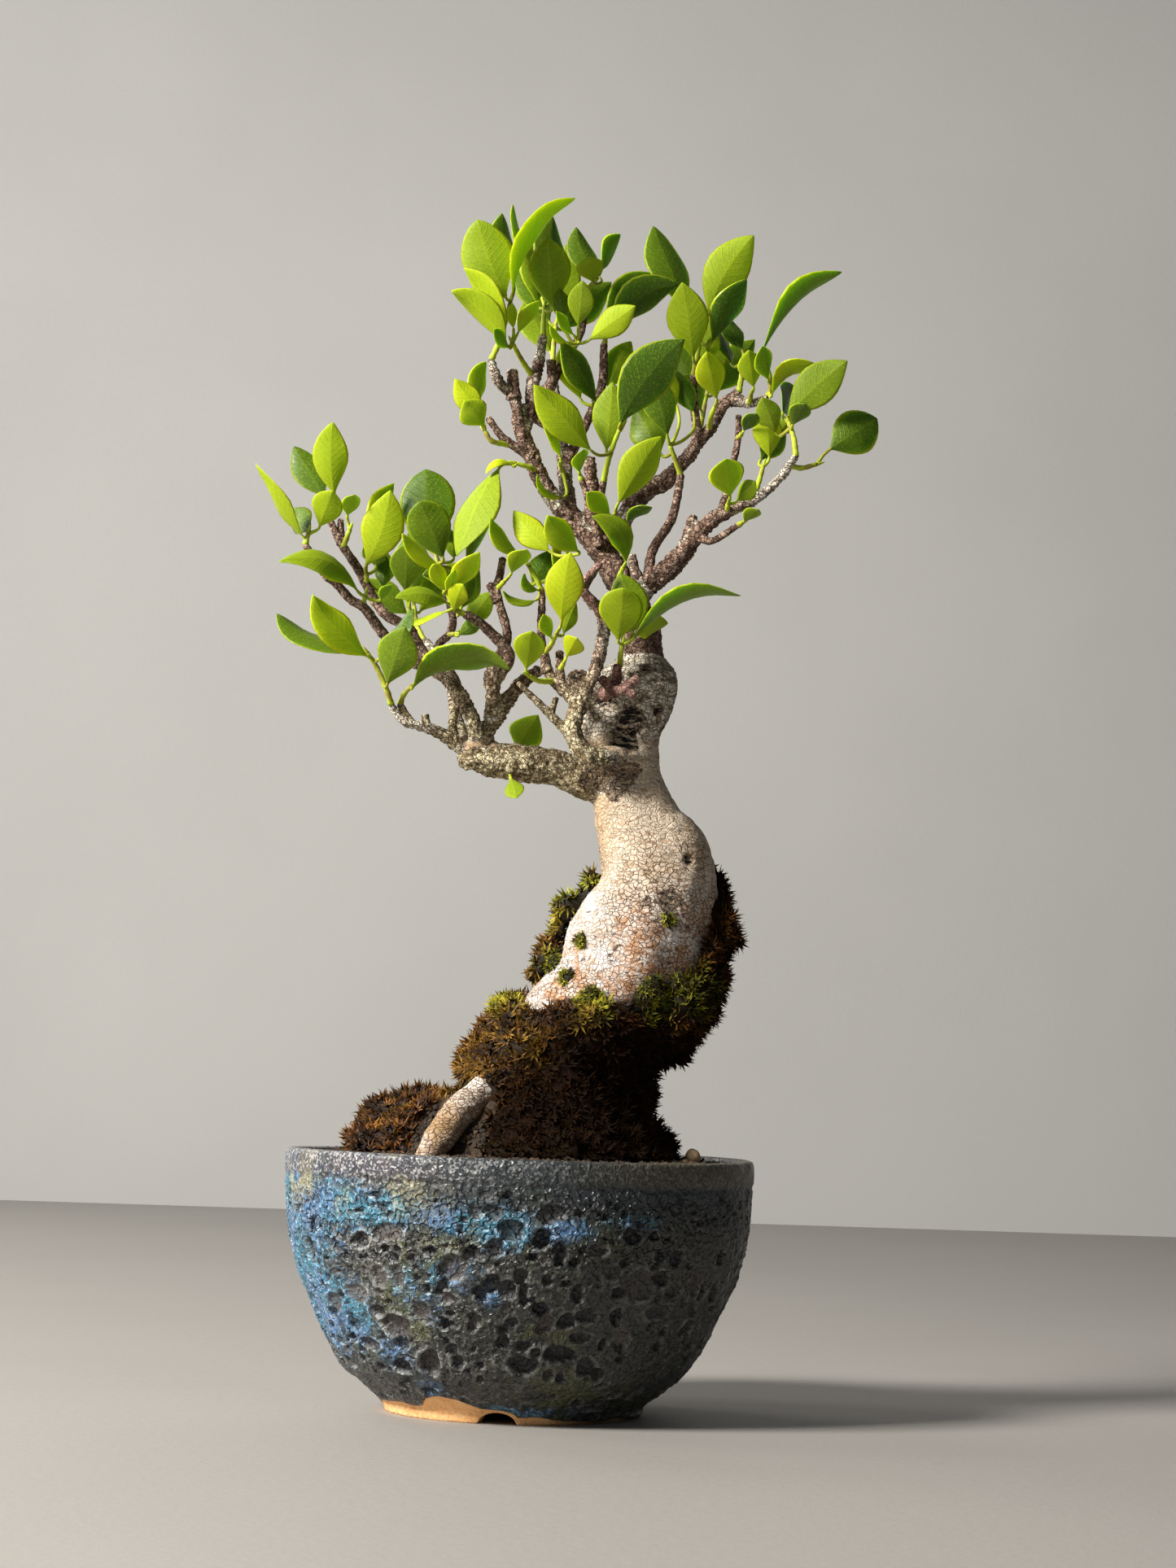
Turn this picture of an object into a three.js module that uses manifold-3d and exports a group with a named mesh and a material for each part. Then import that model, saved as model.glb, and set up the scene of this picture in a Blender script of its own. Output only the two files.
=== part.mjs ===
import * as THREE from 'three';
import { mergeVertices } from 'three/addons/utils/BufferGeometryUtils.js';
import Module from 'manifold-3d';

const wasm = await Module();
wasm.setup();

// Small ficus bonsai in a round, crater glazed pot. Millimetres, +Z up, viewer at -Y.
// x = y = 0 is the pot's axis and z = 0 the surface that the pot stands on.

// Pot
const RIM_RADIUS = 75;
const POT_HEIGHT = 82;
const LIP_WIDTH = 4.6;
const WALL = 5;
const FOOT_RADIUS = 41.4;
const FOOT_RING_WIDTH = 6.4;
const FOOT_RECESS = 4.6;
const FLOOR_TOP = 10.2;
const DRAIN_RADIUS = 8;
const POT_SEGMENTS = 40;
const NOTCH = { width: 12, height: 3.5, angles: [-1.667, 0.427, 2.522] };

// Clearance kept between pieces that touch in the real object
const GAP = 0.3;

// Drainage mesh and the staple that holds it
const SCREEN = { size: 23, thickness: 0.9, hole: 3, pitch: 4, count: 5 };
const STAPLE = { radius: 0.5, legSpacing: 8, toeLength: 9 };

// Soil
const SOIL_EDGE_Z = 79;
const SOIL_BED_Z = 81;
const SOIL_CAVITY = 17;

// Leaves
const BLADE_THICKNESS = 0.9;
const PETIOLE_RADIUS = 0.65;
const FOLD = 0.2;
const WIDTH_TO_LENGTH = 0.46;
const STEM_CLEAR = 1.9;

// Side-on drawing: x and z are drawn on the plane y = 0 as seen from EYE, and at() moves
// a drawn point along its line of sight to the depth y.
const EYE = { x: 18, z: 104.3, distance: 1032.6 };

function at(x, z, y) {
  const k = 1 + y / EYE.distance;
  return new THREE.Vector3(EYE.x + (x - EYE.x) * k, y, EYE.z + (z - EYE.z) * k);
}

// ---------- solids ----------

function solidFrom(points, faces) {
  const vertProperties = new Float32Array(points.flatMap((p) => [p.x, p.y, p.z]));
  const triVerts = new Uint32Array(faces);
  return new wasm.Manifold(new wasm.Mesh({ numProp: 3, vertProperties, triVerts }));
}

function solidOf(geometry) {
  const flat = geometry.clone();
  flat.deleteAttribute('normal');
  flat.deleteAttribute('uv');
  const merged = mergeVertices(flat, 1e-3);
  const vertProperties = new Float32Array(merged.attributes.position.array);
  const index = merged.index.array;
  const faces = [];
  for (let i = 0; i < index.length; i += 3) {
    const [a, b, c] = [index[i], index[i + 1], index[i + 2]];
    if (a !== b && b !== c && c !== a) {
      faces.push(a, b, c);
    }
  }
  const triVerts = new Uint32Array(faces);
  return new wasm.Manifold(new wasm.Mesh({ numProp: 3, vertProperties, triVerts }));
}

function geometryOf(solid) {
  const mesh = solid.getMesh();
  const geometry = new THREE.BufferGeometry();
  geometry.setAttribute('position', new THREE.Float32BufferAttribute(mesh.vertProperties, 3));
  geometry.setIndex(new THREE.Uint32BufferAttribute(mesh.triVerts, 1));
  geometry.computeVertexNormals();
  return geometry;
}

// Closed loft through rings of equal size; a ring of one point closes the end to a tip.
function loft(rings, tip) {
  const n = rings[0].length;
  const points = rings.flat();
  const faces = [];
  for (let i = 0; i + 1 < rings.length; i += 1) {
    for (let j = 0; j < n; j += 1) {
      const a = i * n + j;
      const b = i * n + ((j + 1) % n);
      faces.push(a, b, b + n, a, b + n, a + n);
    }
  }
  const first = rings[0];
  const last = rings[rings.length - 1];
  const start = points.length;
  points.push(middle(first), tip ?? middle(last));
  const base = (rings.length - 1) * n;
  for (let j = 0; j < n; j += 1) {
    const k = (j + 1) % n;
    faces.push(start, k, j, start + 1, base + j, base + k);
  }
  return solidFrom(points, faces);
}

function middle(ring) {
  const sum = new THREE.Vector3();
  ring.forEach((p) => sum.add(p));
  return sum.divideScalar(ring.length);
}

// Round tapering limb. Rows are [x, z, y, diameter] along its middle.
function limb(rows, sides, steps, grow) {
  const curve = new THREE.CatmullRomCurve3(rows.map(([x, z, y]) => at(x, z, y)), false, 'centripetal');
  const spans = (rows.length - 1) * steps;
  const rings = [];
  let side = null;
  for (let i = 0; i <= spans; i += 1) {
    const u = i / spans;
    const centre = curve.getPoint(u);
    const along = curve.getTangent(u);
    const seed = side ?? (Math.abs(along.z) > 0.8 ? new THREE.Vector3(1, 0, 0) : new THREE.Vector3(0, 0, 1));
    side = seed.clone().addScaledVector(along, -seed.dot(along)).normalize();
    const other = new THREE.Vector3().crossVectors(along, side);
    const place = (rows.length - 1) * u;
    const row = Math.min(Math.floor(place), rows.length - 2);
    const share = place - row;
    const radius = THREE.MathUtils.lerp(rows[row][3], rows[row + 1][3], share) / 2 + grow;
    rings.push(roundRing(centre, side, other, radius, sides));
    if (i === spans && sides > 5) {
      const cap = centre.clone().addScaledVector(along, radius * 0.35);
      rings.push(roundRing(cap, side, other, radius * 0.6, sides));
    }
  }
  return loft(rings);
}

function roundRing(centre, side, other, radius, sides) {
  const ring = [];
  for (let j = 0; j < sides; j += 1) {
    const angle = (2 * Math.PI * j) / sides;
    ring.push(centre.clone()
      .addScaledVector(side, Math.cos(angle) * radius)
      .addScaledVector(other, Math.sin(angle) * radius));
  }
  return ring;
}

// Lumpy body from level outlines. Rows are [z, left x, right x, front y, back y].
function stack(rows, sides, lump, grow) {
  const rings = rows.map(([z, left, right, front, back], i) => {
    const low = i === 0 ? -grow : 0;
    const high = i === rows.length - 1 ? grow : 0;
    const ring = [];
    for (let j = 0; j < sides; j += 1) {
      const angle = (2 * Math.PI * j) / sides;
      const wave = 1 + lump * Math.sin(3 * angle + z * 0.21) * Math.cos(2 * angle - z * 0.13);
      const rx = ((right - left) / 2) * wave + grow;
      const ry = ((back - front) / 2) * wave + grow;
      const x = (left + right) / 2 + Math.cos(angle) * rx;
      const y = (front + back) / 2 + Math.sin(angle) * ry;
      ring.push(new THREE.Vector3(x, y, z + low + high));
    }
    return ring;
  });
  return loft(rings);
}

function lathe(profile, segments) {
  const points = profile.map(([r, z]) => new THREE.Vector2(r, z));
  const geometry = new THREE.LatheGeometry(points, segments);
  geometry.rotateX(Math.PI / 2);
  const solid = solidOf(geometry);
  return solid.volume() > 0 ? solid : solidOf(flipped(geometry));
}

function flipped(geometry) {
  const index = geometry.index.array;
  for (let i = 0; i < index.length; i += 3) {
    [index[i], index[i + 1]] = [index[i + 1], index[i]];
  }
  return geometry;
}

function join(solids) {
  return solids.reduce((sum, solid) => sum.add(solid));
}

// ---------- pot ----------

const outerProfile = [
  [FOOT_RADIUS, 0],
  [42.2, 3.2],
  [46, 6.4],
  [55.5, 14.5],
  [60, 21.5],
  [64, 30],
  [69.7, 43],
  [73.4, 57],
  [RIM_RADIUS, 75],
  [RIM_RADIUS, POT_HEIGHT - 0.6],
  [RIM_RADIUS - 0.6, POT_HEIGHT],
];

const innerProfile = [
  [RIM_RADIUS - LIP_WIDTH + 0.5, POT_HEIGHT],
  [RIM_RADIUS - LIP_WIDTH, POT_HEIGHT - 0.6],
  [68, 55.5],
  [60, 32],
  [50, 17.5],
  [40, FLOOR_TOP + 1.4],
  [28, FLOOR_TOP],
];

function makePot() {
  const foot = FOOT_RADIUS - FOOT_RING_WIDTH;
  const profile = [
    ...outerProfile,
    ...innerProfile,
    [DRAIN_RADIUS, FLOOR_TOP],
    [DRAIN_RADIUS, FOOT_RECESS],
    [foot - 1.4, FOOT_RECESS],
    [foot, 0],
    [FOOT_RADIUS, 0],
  ];
  let pot = lathe(profile, POT_SEGMENTS);
  for (const angle of NOTCH.angles) {
    const arch = new THREE.Shape();
    arch.moveTo(-NOTCH.width / 2, -1);
    arch.lineTo(NOTCH.width / 2, -1);
    arch.absellipse(0, 0, NOTCH.width / 2, NOTCH.height, 0, Math.PI, false, 0);
    const cutter = new THREE.ExtrudeGeometry(arch, { depth: 20, bevelEnabled: false, curveSegments: 8 });
    cutter.rotateX(Math.PI / 2);
    cutter.translate(0, 50, 0);
    cutter.rotateZ(angle - Math.PI / 2);
    pot = pot.subtract(solidOf(cutter));
  }
  return pot;
}

function makeScreen() {
  const sheet = new THREE.BoxGeometry(SCREEN.size, SCREEN.size, SCREEN.thickness);
  let screen = solidOf(sheet);
  const reach = ((SCREEN.count - 1) / 2) * SCREEN.pitch;
  for (let i = 0; i < SCREEN.count; i += 1) {
    for (let j = 0; j < SCREEN.count; j += 1) {
      const hole = new THREE.BoxGeometry(SCREEN.hole, SCREEN.hole, SCREEN.thickness + 2);
      hole.translate(i * SCREEN.pitch - reach, j * SCREEN.pitch - reach, 0);
      screen = screen.subtract(solidOf(hole));
    }
  }
  return screen.translate([0, 0, FLOOR_TOP + GAP + SCREEN.thickness / 2]);
}

function makeStaple() {
  const leg = STAPLE.legSpacing / 2;
  const over = FLOOR_TOP + GAP + SCREEN.thickness + GAP + STAPLE.radius;
  const under = FOOT_RECESS - GAP - STAPLE.radius;
  const toe = leg + STAPLE.toeLength;
  const bend = 0.9;
  const path = [
    [-toe, under], [-leg - bend, under], [-leg, under + bend], [-leg, over - bend],
    [-leg + bend, over], [leg - bend, over], [leg, over - bend], [leg, under + bend],
    [leg + bend, under], [toe, under],
  ];
  const rings = path.map(([x, z], i) => {
    const before = path[Math.max(i - 1, 0)];
    const after = path[Math.min(i + 1, path.length - 1)];
    const along = new THREE.Vector3(after[0] - before[0], 0, after[1] - before[1]).normalize();
    const side = new THREE.Vector3(0, 1, 0);
    const other = new THREE.Vector3().crossVectors(along, side);
    return roundRing(new THREE.Vector3(x, 0, z), side, other, STAPLE.radius, 6);
  });
  return loft(rings);
}

// ---------- wood ----------

// Trunk outlines: [z, left x, right x, front y, back y]
const trunkRows = [
  [60, -16, 24, -20, 18],
  [66, -24, 33, -27, 25],
  [80, -25, 35, -28, 27],
  [92, -22.5, 34.5, -27, 26],
  [105, -18, 34, -25, 25],
  [116, -11, 36, -24, 24],
  [125, -4, 44, -24, 24],
  [134.5, 1, 53, -24, 24],
  [146, 10, 58.5, -23, 25],
  [156, 12, 59.5, -22, 24],
  [165, 17, 61, -20, 23],
  [173, 22.5, 60.5, -18, 21],
  [180, 22.5, 59.5, -16, 20],
  [186, 21.5, 57.5, -14.5, 19],
  [191, 20.5, 53.5, -13, 18],
  [196, 20, 48, -12, 16],
  [207, 20, 42, -10.5, 13],
  [217, 18, 41, -11, 12],
  [228, 19.5, 45, -12, 13],
  [237, 20, 46.5, -12, 13],
  [243, 24, 44, -8, 11],
  [247, 29, 40, -4, 8],
];

// Limbs: rows of [x, z, y, diameter], from the base to the tip
const limbs = {
  rootFrontLeft: [[-2, 108, -12, 12], [-13, 100, -24, 8.5], [-19, 96, -30, 8], [-24, 90, -36, 7],
    [-28.5, 83, -41, 6.5], [-33, 74, -44, 5], [-37, 66, -45, 3]],
  rootRight: [[14, 84, 2, 20], [34, 76, 8, 12], [48, 68, 14, 7], [55, 60, 18, 4]],
  rootBack: [[6, 84, 8, 22], [2, 76, 28, 13], [-4, 67, 42, 7], [-8, 58, 48, 4]],
  rootFrontRight: [[14, 82, -10, 18], [24, 73, -26, 11], [32, 64, -38, 6], [36, 56, -42, 4]],
  leftMain: [[28, 204, 2, 13], [12, 209.5, -1, 10.5], [0, 210.5, -3, 10], [-9.3, 211.5, -5, 9.5],
    [-17, 212, -6, 9.5], [-22.5, 210.8, -7, 8]],
  leftRise: [[-14, 211.5, -6, 6], [-16, 217.7, -6, 6], [-13, 224, -5, 6], [-9.2, 230, -4, 5],
    [-4.5, 235.5, -2, 4.5], [1, 240, 0, 4]],
  leftFork: [[-14.5, 220.5, -6, 4.5], [-14.2, 231.5, -8, 5], [-14.7, 238, -10, 5], [-12.3, 243, -9, 4]],
  leftForkLow: [[-14, 236, -9, 4], [-9.2, 244, -10, 4], [-16.3, 252.5, -12, 3.4], [-20.7, 256, -13, 3],
    [-24, 257.5, -14, 2.8]],
  leftForkHigh: [[-13.5, 242, -9.5, 3.4], [-10, 250, -7, 3], [-12.8, 261, -5, 2.8], [-14.2, 267, -4, 2.6],
    [-13.3, 270, -4, 2.6], [-12.4, 276.3, -4, 2.4]],
  leftForkStub: [[-13.6, 262, -5, 2.4], [-16.7, 268, -4, 2.2]],
  farLeft: [[-20, 211, -7, 5.5], [-24.6, 214, -8, 4.4], [-30.3, 217.8, -10, 4], [-35.8, 219.9, -12, 3.4],
    [-41.5, 220.9, -14, 3], [-45.3, 223.8, -15, 2.6], [-47.2, 227, -16, 2.2]],
  farLeftFork: [[-40.6, 221, -13.5, 2.4], [-44.4, 227, -14, 2.2]],
  farLeftStub: [[-35.4, 220, -12, 2.4], [-36, 224, -12, 2.2]],
  backRise: [[-25.5, 214.5, -6, 4], [-27, 220.5, -2, 3], [-26, 227.5, 1, 2.8], [-26, 234.5, 3, 2.8],
    [-28.5, 239, 4, 2.8], [-32.4, 247, 5, 2.8], [-29.3, 250.5, 6, 2.6], [-28, 255, 8, 2.6],
    [-30, 263, 12, 2.4], [-33, 272, 16, 2.2]],
  knobbyRise: [[-18, 212, -8, 6], [-20.3, 222.5, -10, 5], [-23.6, 229, -9, 5], [-27, 233, -7, 4.6],
    [-29.5, 237, -5, 4.2]],
  leftLow: [[-28, 236, -5, 4.2], [-35.8, 239.7, -7, 4], [-39.9, 241, -8, 3.8], [-44.2, 244.5, -9, 3.6],
    [-50.5, 250, -10.5, 3.4], [-57.7, 259, -13, 3.2], [-61.5, 261, -14, 3], [-67, 266.6, -16, 2.8],
    [-70.4, 269, -17.5, 2.6], [-74.8, 275, -19, 2.4], [-77.5, 279, -20, 2.2]],
  leftHigh: [[-34, 239, -6.5, 4], [-39.6, 247.5, -3, 3.8], [-42.6, 252.5, -1, 3.6], [-50, 256.5, 1, 3.4],
    [-53.8, 261, 2, 3.2], [-59.8, 271.5, 3.5, 3], [-65.8, 280, 5, 2.8], [-70, 288, 6, 2.2]],
  leftHighFork: [[-65.6, 279.5, 5, 2.4], [-66.2, 287.5, 8, 2]],
  frontRise: [[24, 207, -4, 9], [14, 214.5, -12, 7.5], [12.4, 221, -16, 6], [15.4, 229.6, -19, 5],
    [20.1, 239.2, -21, 4.4], [21.5, 252.3, -20, 4], [20, 261, -18, 4], [16.2, 263.8, -17, 3.6],
    [13.3, 268.3, -16, 3.2], [10, 276.5, -14, 2.4]],
  frontRiseFork: [[14.2, 267, -16.2, 2.4], [19.4, 275.5, -15, 2]],
  sideTwig: [[13, 218, -14, 4], [7.6, 222.8, -14.5, 3], [1, 229, -16, 2.4], [-5.9, 235.3, -18, 1.6]],
  sideTwigStub: [[5, 225, -15, 2], [6.7, 231, -14, 1.8]],
  deadTwig: [[14, 229.5, -18.5, 4.4], [7.8, 234.7, -14, 4], [4.5, 238, -13, 3.6], [2.5, 245.5, -12, 2.6]],
  deadTwigFork: [[7.8, 234.7, -14, 3.4], [7.3, 245.8, -12, 2.6]],
  uprightTwig: [[3.4, 239, -13, 2.8], [1, 252, -12, 2.6], [1, 260, -12, 2.4], [0.9, 265.6, -12, 2.2]],
  knobTwig: [[22, 234.5, -8, 3.2], [25, 234.7, -14.5, 2.6], [30.5, 237, -15, 2.4]],
  knobTwigFork: [[25, 235, -14, 2.6], [27.2, 242, -14, 2.2]],
  sawnKnob: [[20, 229, 2, 11], [15, 234, 3, 9.5], [13, 238, 3, 8]],
  leader: [[34, 240, 1, 15], [34, 248, 2, 13.5], [34, 254, 3, 12.5], [31, 262, 5, 11], [27, 269, 6, 10],
    [23, 276, 7, 9.4], [18, 283, 8, 9], [13, 288, 8, 8.4], [8, 292, 7, 7.6]],
  leaderLeft: [[11, 289.5, 7.5, 7], [4, 296, 6, 6.4], [-1.8, 306, 5, 6], [-3.9, 311, 4, 5.6],
    [-7.5, 319, 3, 5], [-8.9, 325, 2, 4.6], [-10.9, 331, 1, 4.2], [-14.2, 334, -1, 3.8],
    [-16.7, 337.3, -3, 3.4], [-18.4, 343, -4, 3]],
  leaderLeftStub: [[-10.5, 330, 1, 4], [-11.4, 339.5, 2, 3.6]],
  leaderLeftTwig: [[-4, 311, 4, 4], [-7.7, 313, 3, 3.4], [-13.4, 316.5, 1.5, 2.8], [-18.6, 323, 1, 2.4]],
  crownLeft: [[-7, 319, 3, 5], [-4.7, 325, 4, 4.6], [-5, 329.5, 4, 4.4], [-4.7, 334.5, 4, 4.2],
    [-2.6, 342, 4, 3.8], [-1.5, 351.5, 4, 2.8]],
  crownLeftTwig: [[-4, 324, 4.5, 2.4], [1.1, 320.5, 6, 2.2], [5.3, 317, 8, 2]],
  crownMidStub: [[-3.8, 331.5, 4, 3.8], [1.4, 334.5, 3, 3.6], [1.4, 343.5, 2, 3.2]],
  crownMid: [[1, 334, 3.2, 3.2], [6, 344, 3, 2.6], [10.8, 352.5, 3, 2.4], [12.4, 366.5, 2, 2]],
  leaderMid: [[9.5, 291, 8, 6], [7.8, 301.7, 12, 4.2], [7.5, 311, 13, 3.8], [3, 322, 14, 3]],
  crownRight: [[7.5, 309, 13, 3.4], [12, 319, 12, 3.2], [16, 328, 9, 3], [18.5, 336, 8, 3],
    [18.7, 349, 8, 2.6]],
  greyStub: [[17, 286, 6, 6], [16.5, 300, 4, 5], [14.8, 310.5, 3, 4.4]],
  thinRise: [[19.4, 282, 3, 3], [17, 291.3, -1, 2.4], [12.8, 303.5, -2, 2]],
  thinRiseFork: [[17.6, 289.5, 0, 2.4], [20, 303, 1, 2.2]],
  rightUpper: [[20.5, 280, 8, 7.5], [27.8, 292.4, 8, 6.4], [31.4, 299, 9, 6], [40.5, 304, 10, 5.4],
    [50.6, 316.7, 12, 4.8], [54.3, 321.3, 12, 4.6], [58.4, 329.8, 11, 4.2], [61, 332, 10, 4],
    [68.4, 331, 6, 3], [73.5, 333.6, 0, 2.4]],
  rightUpperStub: [[60, 331, 10, 3.6], [63.8, 334.5, 9, 3.4]],
  rightUpright: [[50.8, 318, 12, 3.4], [49, 331, 13, 2.8], [48.7, 339.5, 14, 2.4]],
  riser: [[36, 268.5, -2, 4], [36.6, 280, 1, 3.2], [43, 292, 3, 3], [45.4, 306, 4, 2.6]],
  rightLower: [[30, 262, 2, 9], [36, 269.5, -2, 7.6], [40, 272.5, -3, 7], [46, 279, -5, 6.4],
    [51.5, 286.5, -8, 6], [57.5, 292.5, -11, 5], [63.4, 295.2, -12, 4], [68.9, 298, -13, 3.4],
    [77.6, 305.6, -14, 3], [83.2, 313.6, -16, 2.2]],
  rightLowerKnob: [[48, 282, -6, 5], [49.7, 292.5, -6, 4]],
  rightLowerStub: [[34, 268.5, 0, 4], [31.5, 273, -2, 3.4], [30, 279, -2, 3]],
  rightBranchlet: [[52, 286, -9, 3], [56, 284.5, -12, 2.4], [64.7, 290, -14, 2]],
  rightTwig: [[59, 293.5, -11, 2.8], [61, 303, -6, 2.4], [64, 319.5, -2, 2.2], [63.9, 326.5, 0, 2]],
  backRight: [[27.8, 292.4, 9, 6], [36, 301.5, 26, 5], [45, 309, 38, 4], [50.6, 318, 44, 3]],
  backCrown: [[8.2, 296, 9, 5], [6.7, 307, 26, 4.4], [5, 322, 36, 3.8], [2, 340, 40, 3]],
  backLeft: [[-22, 211.5, -3, 6], [-26, 224, 18, 4.6], [-30, 240, 32, 3.8], [-37, 248, 40, 3]],
};

function makeWood(grow) {
  const trunk = stack(trunkRows, 18, 0.035, grow);
  const parts = Object.values(limbs).map((rows) => {
    const thick = Math.max(...rows.map((row) => row[3])) > 6.5;
    return limb(rows, thick ? 8 : 5, 1, grow);
  });
  return join([trunk, ...parts]);
}

// ---------- soil and moss ----------

// Mound of soil around the trunk, under the moss
const soilMoundRows = [
  [70, -50, 44, -42, 38],
  [86, -48, 42, -40, 37],
  [92, -44, 38, -36, 34],
  [97, -40, 34, -33, 31],
  [101, -24, 32, -30, 29],
];

const mossRows = {
  moss_right_flank: [
    [112, 40, 46, -8, 14],
    [117, 36, 54, -16, 20],
    [124, 34, 58.5, -20, 24],
    [130, 34, 63, -22, 26],
    [138, 36, 65, -21, 26],
    [146, 40, 65.5, -17, 24],
    [153, 44, 68.5, -13, 22],
    [160, 46, 66.5, -9, 20],
    [173, 50, 62.8, -3, 16],
    [180, 54, 60.6, 1, 10],
  ],
  moss_left_flank: [
    [136, -1, 12, -17, 10],
    [141.5, 1, 16, -19, 12],
    [148, 2.5, 18, -19, 12],
    [155, 5.5, 20, -17, 10],
    [162, 8, 22, -15, 8],
    [169, 12.5, 24, -12, 6],
    [172.5, 15, 22, -8, 3],
  ],
  moss_left_heap: [
    [81.6, -57, -19, -32, 24],
    [86, -55.5, -19, -31, 23],
    [92, -51.5, -19, -28, 21],
    [97, -49, -19, -24, 18],
    [100, -41, -20, -18, 14],
    [102, -34, -24, -8, 5],
  ],
  moss_mound: [
    [81.6, -28, 52, -49, 46],
    [86, -27, 50, -47, 44],
    [92, -25, 46, -43, 41],
    [97, -24, 42, -40, 38],
    [104, -20.5, 43, -36, 36],
    [110, -22, 43.5, -35, 34],
    [116, -20.5, 48, -34, 33],
    [123.6, -14, 53, -32, 31],
    [130, -11, 52, -30, 29],
    [134.5, -4, 46, -26, 26],
  ],
};

function makeSoil(grow, wood) {
  const wall = innerProfile.slice(1, -1).map(([r, z]) => [r - GAP + grow, z]).reverse();
  const basin = wall.filter(([, z]) => z < SOIL_EDGE_Z - 2);
  const edge = RIM_RADIUS - LIP_WIDTH - 2 * GAP + grow;
  const under = FLOOR_TOP + GAP + SCREEN.thickness + GAP + 2 * STAPLE.radius + GAP;
  const body = lathe([
    [0, under],
    [SOIL_CAVITY, under],
    [SOIL_CAVITY + 0.5, FLOOR_TOP + GAP],
    [28, FLOOR_TOP + GAP],
    [40 - GAP, FLOOR_TOP + 1.4 + GAP],
    ...basin.slice(1),
    [edge, SOIL_EDGE_Z + grow],
    [62, SOIL_EDGE_Z + 1.3 + grow],
    [50, SOIL_BED_Z + grow],
    [0, SOIL_BED_Z + grow],
  ], POT_SEGMENTS);
  const full = body.add(stack(soilMoundRows, 14, 0.04, grow));
  return wood ? full.subtract(wood) : full;
}

// ---------- leafy shoots ----------

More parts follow.
